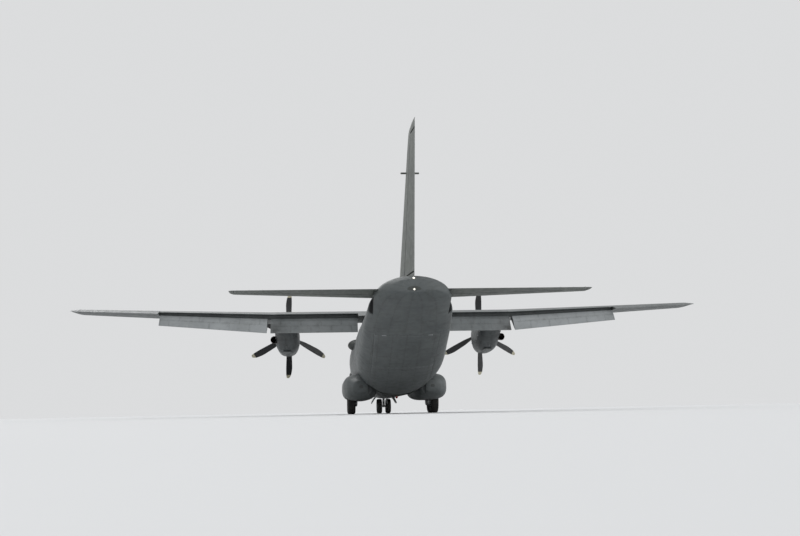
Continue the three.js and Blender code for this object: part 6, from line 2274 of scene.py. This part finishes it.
seams = Form()
for start, end, half in HATCHES:
    hatch = rounded([(aft(start), -half), (aft(end), -half), (aft(end), half), (aft(start), half)], 90, 6)
    seams.join(tube([(x, y, crest(y + LENGTH / 2, x) - 2) for y, x in hatch], 5, 8, closed=True))
piece("hatch_seams", seams, "airframe", SEAL)


def handle(s, z):
    """A flush handle's recess plate and its lever."""
    face = flank(s, z)

    def slab(corners, radius, depths):
        outline = rounded(corners, radius, 3)
        return Form().loft([[(face + d, aft(s) + u, z + v) for u, v in outline] for d in depths])

    plate = slab([(-92, -34), (92, -34), (92, 34), (-92, 34)], 20, (-8, 4))
    return plate, slab([(-72, -12), (66, -12), (66, 12), (-72, 12)], 8, (2, 16))


plate_form, lever_form = handle(*CREW_HANDLE)
piece("crew_handle_plate", plate_form, "crew_door_panel", DARK)
piece("crew_handle_lever", lever_form, "crew_door_panel", METAL)
plate_form, lever_form = handle(*SIDE_HANDLE)
pair("side_handle_plate", plate_form, "airframe", DARK)
pair("side_handle_lever", lever_form, "airframe", METAL)

latches = Form()
for s in steps(5500, 8300, 400):
    row = cowl(s)
    for angle in (-0.35, math.pi + 0.35):
        low = math.sin(angle)
        x = PROP_X + (row[1] + 1) * signed(math.cos(angle), 2 / row[5])
        z = row[3] + (row[3] - row[4]) * signed(low, 2 / row[5])
        latches.join(block(x - 7, x + 7, aft(s) - 46, aft(s) + 46, z - 13, z + 13))
mast_row = cowl(7900)
latches.join(tube(
    [(PROP_X, aft(7900), mast_row[4] + 15), (PROP_X, aft(7950), mast_row[4] - 120)], [17, 13], 12
))
pair("cowl_latches", latches, "airframe", METAL)
flap_row = [
    (PROP_X - 210, aft(7150)), (PROP_X + 210, aft(7150)), (PROP_X + 190, aft(7560)),
    (PROP_X - 190, aft(7560))
]
oil_flap = Form().loft([
    [
        (x, y, cowl(y + LENGTH / 2)[4] + 6 - (46 if y > aft(7400) else 0) - d)
        for x, y in rounded(flap_row, 30, 3)
    ]
    for d in (0, 12)
])
pair("oil_cooler_flap", oil_flap, "airframe", FLAT_SKIN)

door_ears, door_eyes = Form(), Form()
door_y, door_z = aft(DOOR_HINGE[0]), DOOR_HINGE[1]
for x in DOOR_KNUCKLES:
    door_eyes.join(tube([(x - 34, door_y, door_z), (x + 34, door_y, door_z)], 27, 16))
    web = [(-24, -14), (24, -14), (24, 14), (-24, 14)]
    door_eyes.join(
        Form().loft([[(x + u, door_y + d, door_z + d * 0.4 + v) for u, v in web] for d in (0, 40)])
    )
    for side in (-1, 1):
        door_ears.join(tube([(x + side * 44, door_y, door_z), (x + side * 78, door_y, door_z)], 27, 16))
piece("cargo_door_ears", door_ears, "cargo_door_panel", METAL)
piece("cargo_door_eyes", door_eyes, "airframe", METAL)


# Floor, camera and light

floor_mesh = bmesh.new()
bmesh.ops.create_circle(floor_mesh, cap_ends=True, segments=96, radius=1500)
floor_data = bpy.data.meshes.new("studio_floor")
floor_mesh.to_mesh(floor_data)
floor_mesh.free()
floor = bpy.data.objects.new("studio_floor", floor_data)
bpy.context.scene.collection.objects.link(floor)
ground = Shader("floor_plain")
ground_colour = ground.blend(ground.noise(0.05, 2), "cecfd0", "d0d1d2")
ground_roughness = ground.ramp(ground.noise(0.5, 2), 0.3, 0.7, 0.9, 0.96)
floor_data.materials.append(
    ground.done(ground_colour, ground_roughness, numbers={"Specular IOR Level": 0.15})
)

world = bpy.data.worlds.new("studio")
bpy.context.scene.world = world
world.use_nodes = True
backdrop = world.node_tree.nodes["Background"]
backdrop.inputs[0].default_value = (0.99, 1.0, 1.01, 1)
backdrop.inputs[1].default_value = 0.72

SUNS = {
    # where the light comes from, its strength and its spread in degrees
    "key": ((0.45, -0.75, 0.85), 1.5, 40),
    "fill": ((-0.7, 0.6, 0.35), 0.9, 70),
}
for name, (come, power, spread_angle) in SUNS.items():
    data = bpy.data.lights.new(name, "SUN")
    data.energy, data.angle = power, math.radians(spread_angle)
    made = bpy.data.objects.new(name, data)
    made.rotation_euler = Vector(come).to_track_quat("Z", "Y").to_euler()
    bpy.context.scene.collection.objects.link(made)

# The photograph's framing from the floor: distance, bearing, then the aim and roll of the camera
DISTANCE, EYE_HEIGHT, AZIMUTH = 42.0, 0.1, 175.87
PAN, TILT, ROLL = -0.44, 8.4, -1.16
LENS = 43.56
bearing, heading, rise = math.radians(AZIMUTH), math.radians(AZIMUTH + PAN), math.radians(TILT)
ahead = Vector((-math.sin(heading) * math.cos(rise), math.cos(heading) * math.cos(rise), math.sin(rise)))
right = ahead.cross(Vector((0, 0, 1))).normalized()
above = right.cross(ahead)
cos_roll, sin_roll = math.cos(math.radians(ROLL)), math.sin(math.radians(ROLL))
right, above = right * cos_roll + above * sin_roll, above * cos_roll - right * sin_roll
camera_data = bpy.data.cameras.new("view")
camera_data.sensor_width, camera_data.lens, camera_data.clip_end = 36, LENS, 3000
camera = bpy.data.objects.new("view", camera_data)
camera.location = (math.sin(bearing) * DISTANCE, -math.cos(bearing) * DISTANCE, EYE_HEIGHT)
camera.rotation_euler = Matrix((right, above, -ahead)).transposed().to_euler()
bpy.context.scene.collection.objects.link(camera)
bpy.context.scene.camera = camera
bpy.context.scene.view_settings.view_transform = "Standard"
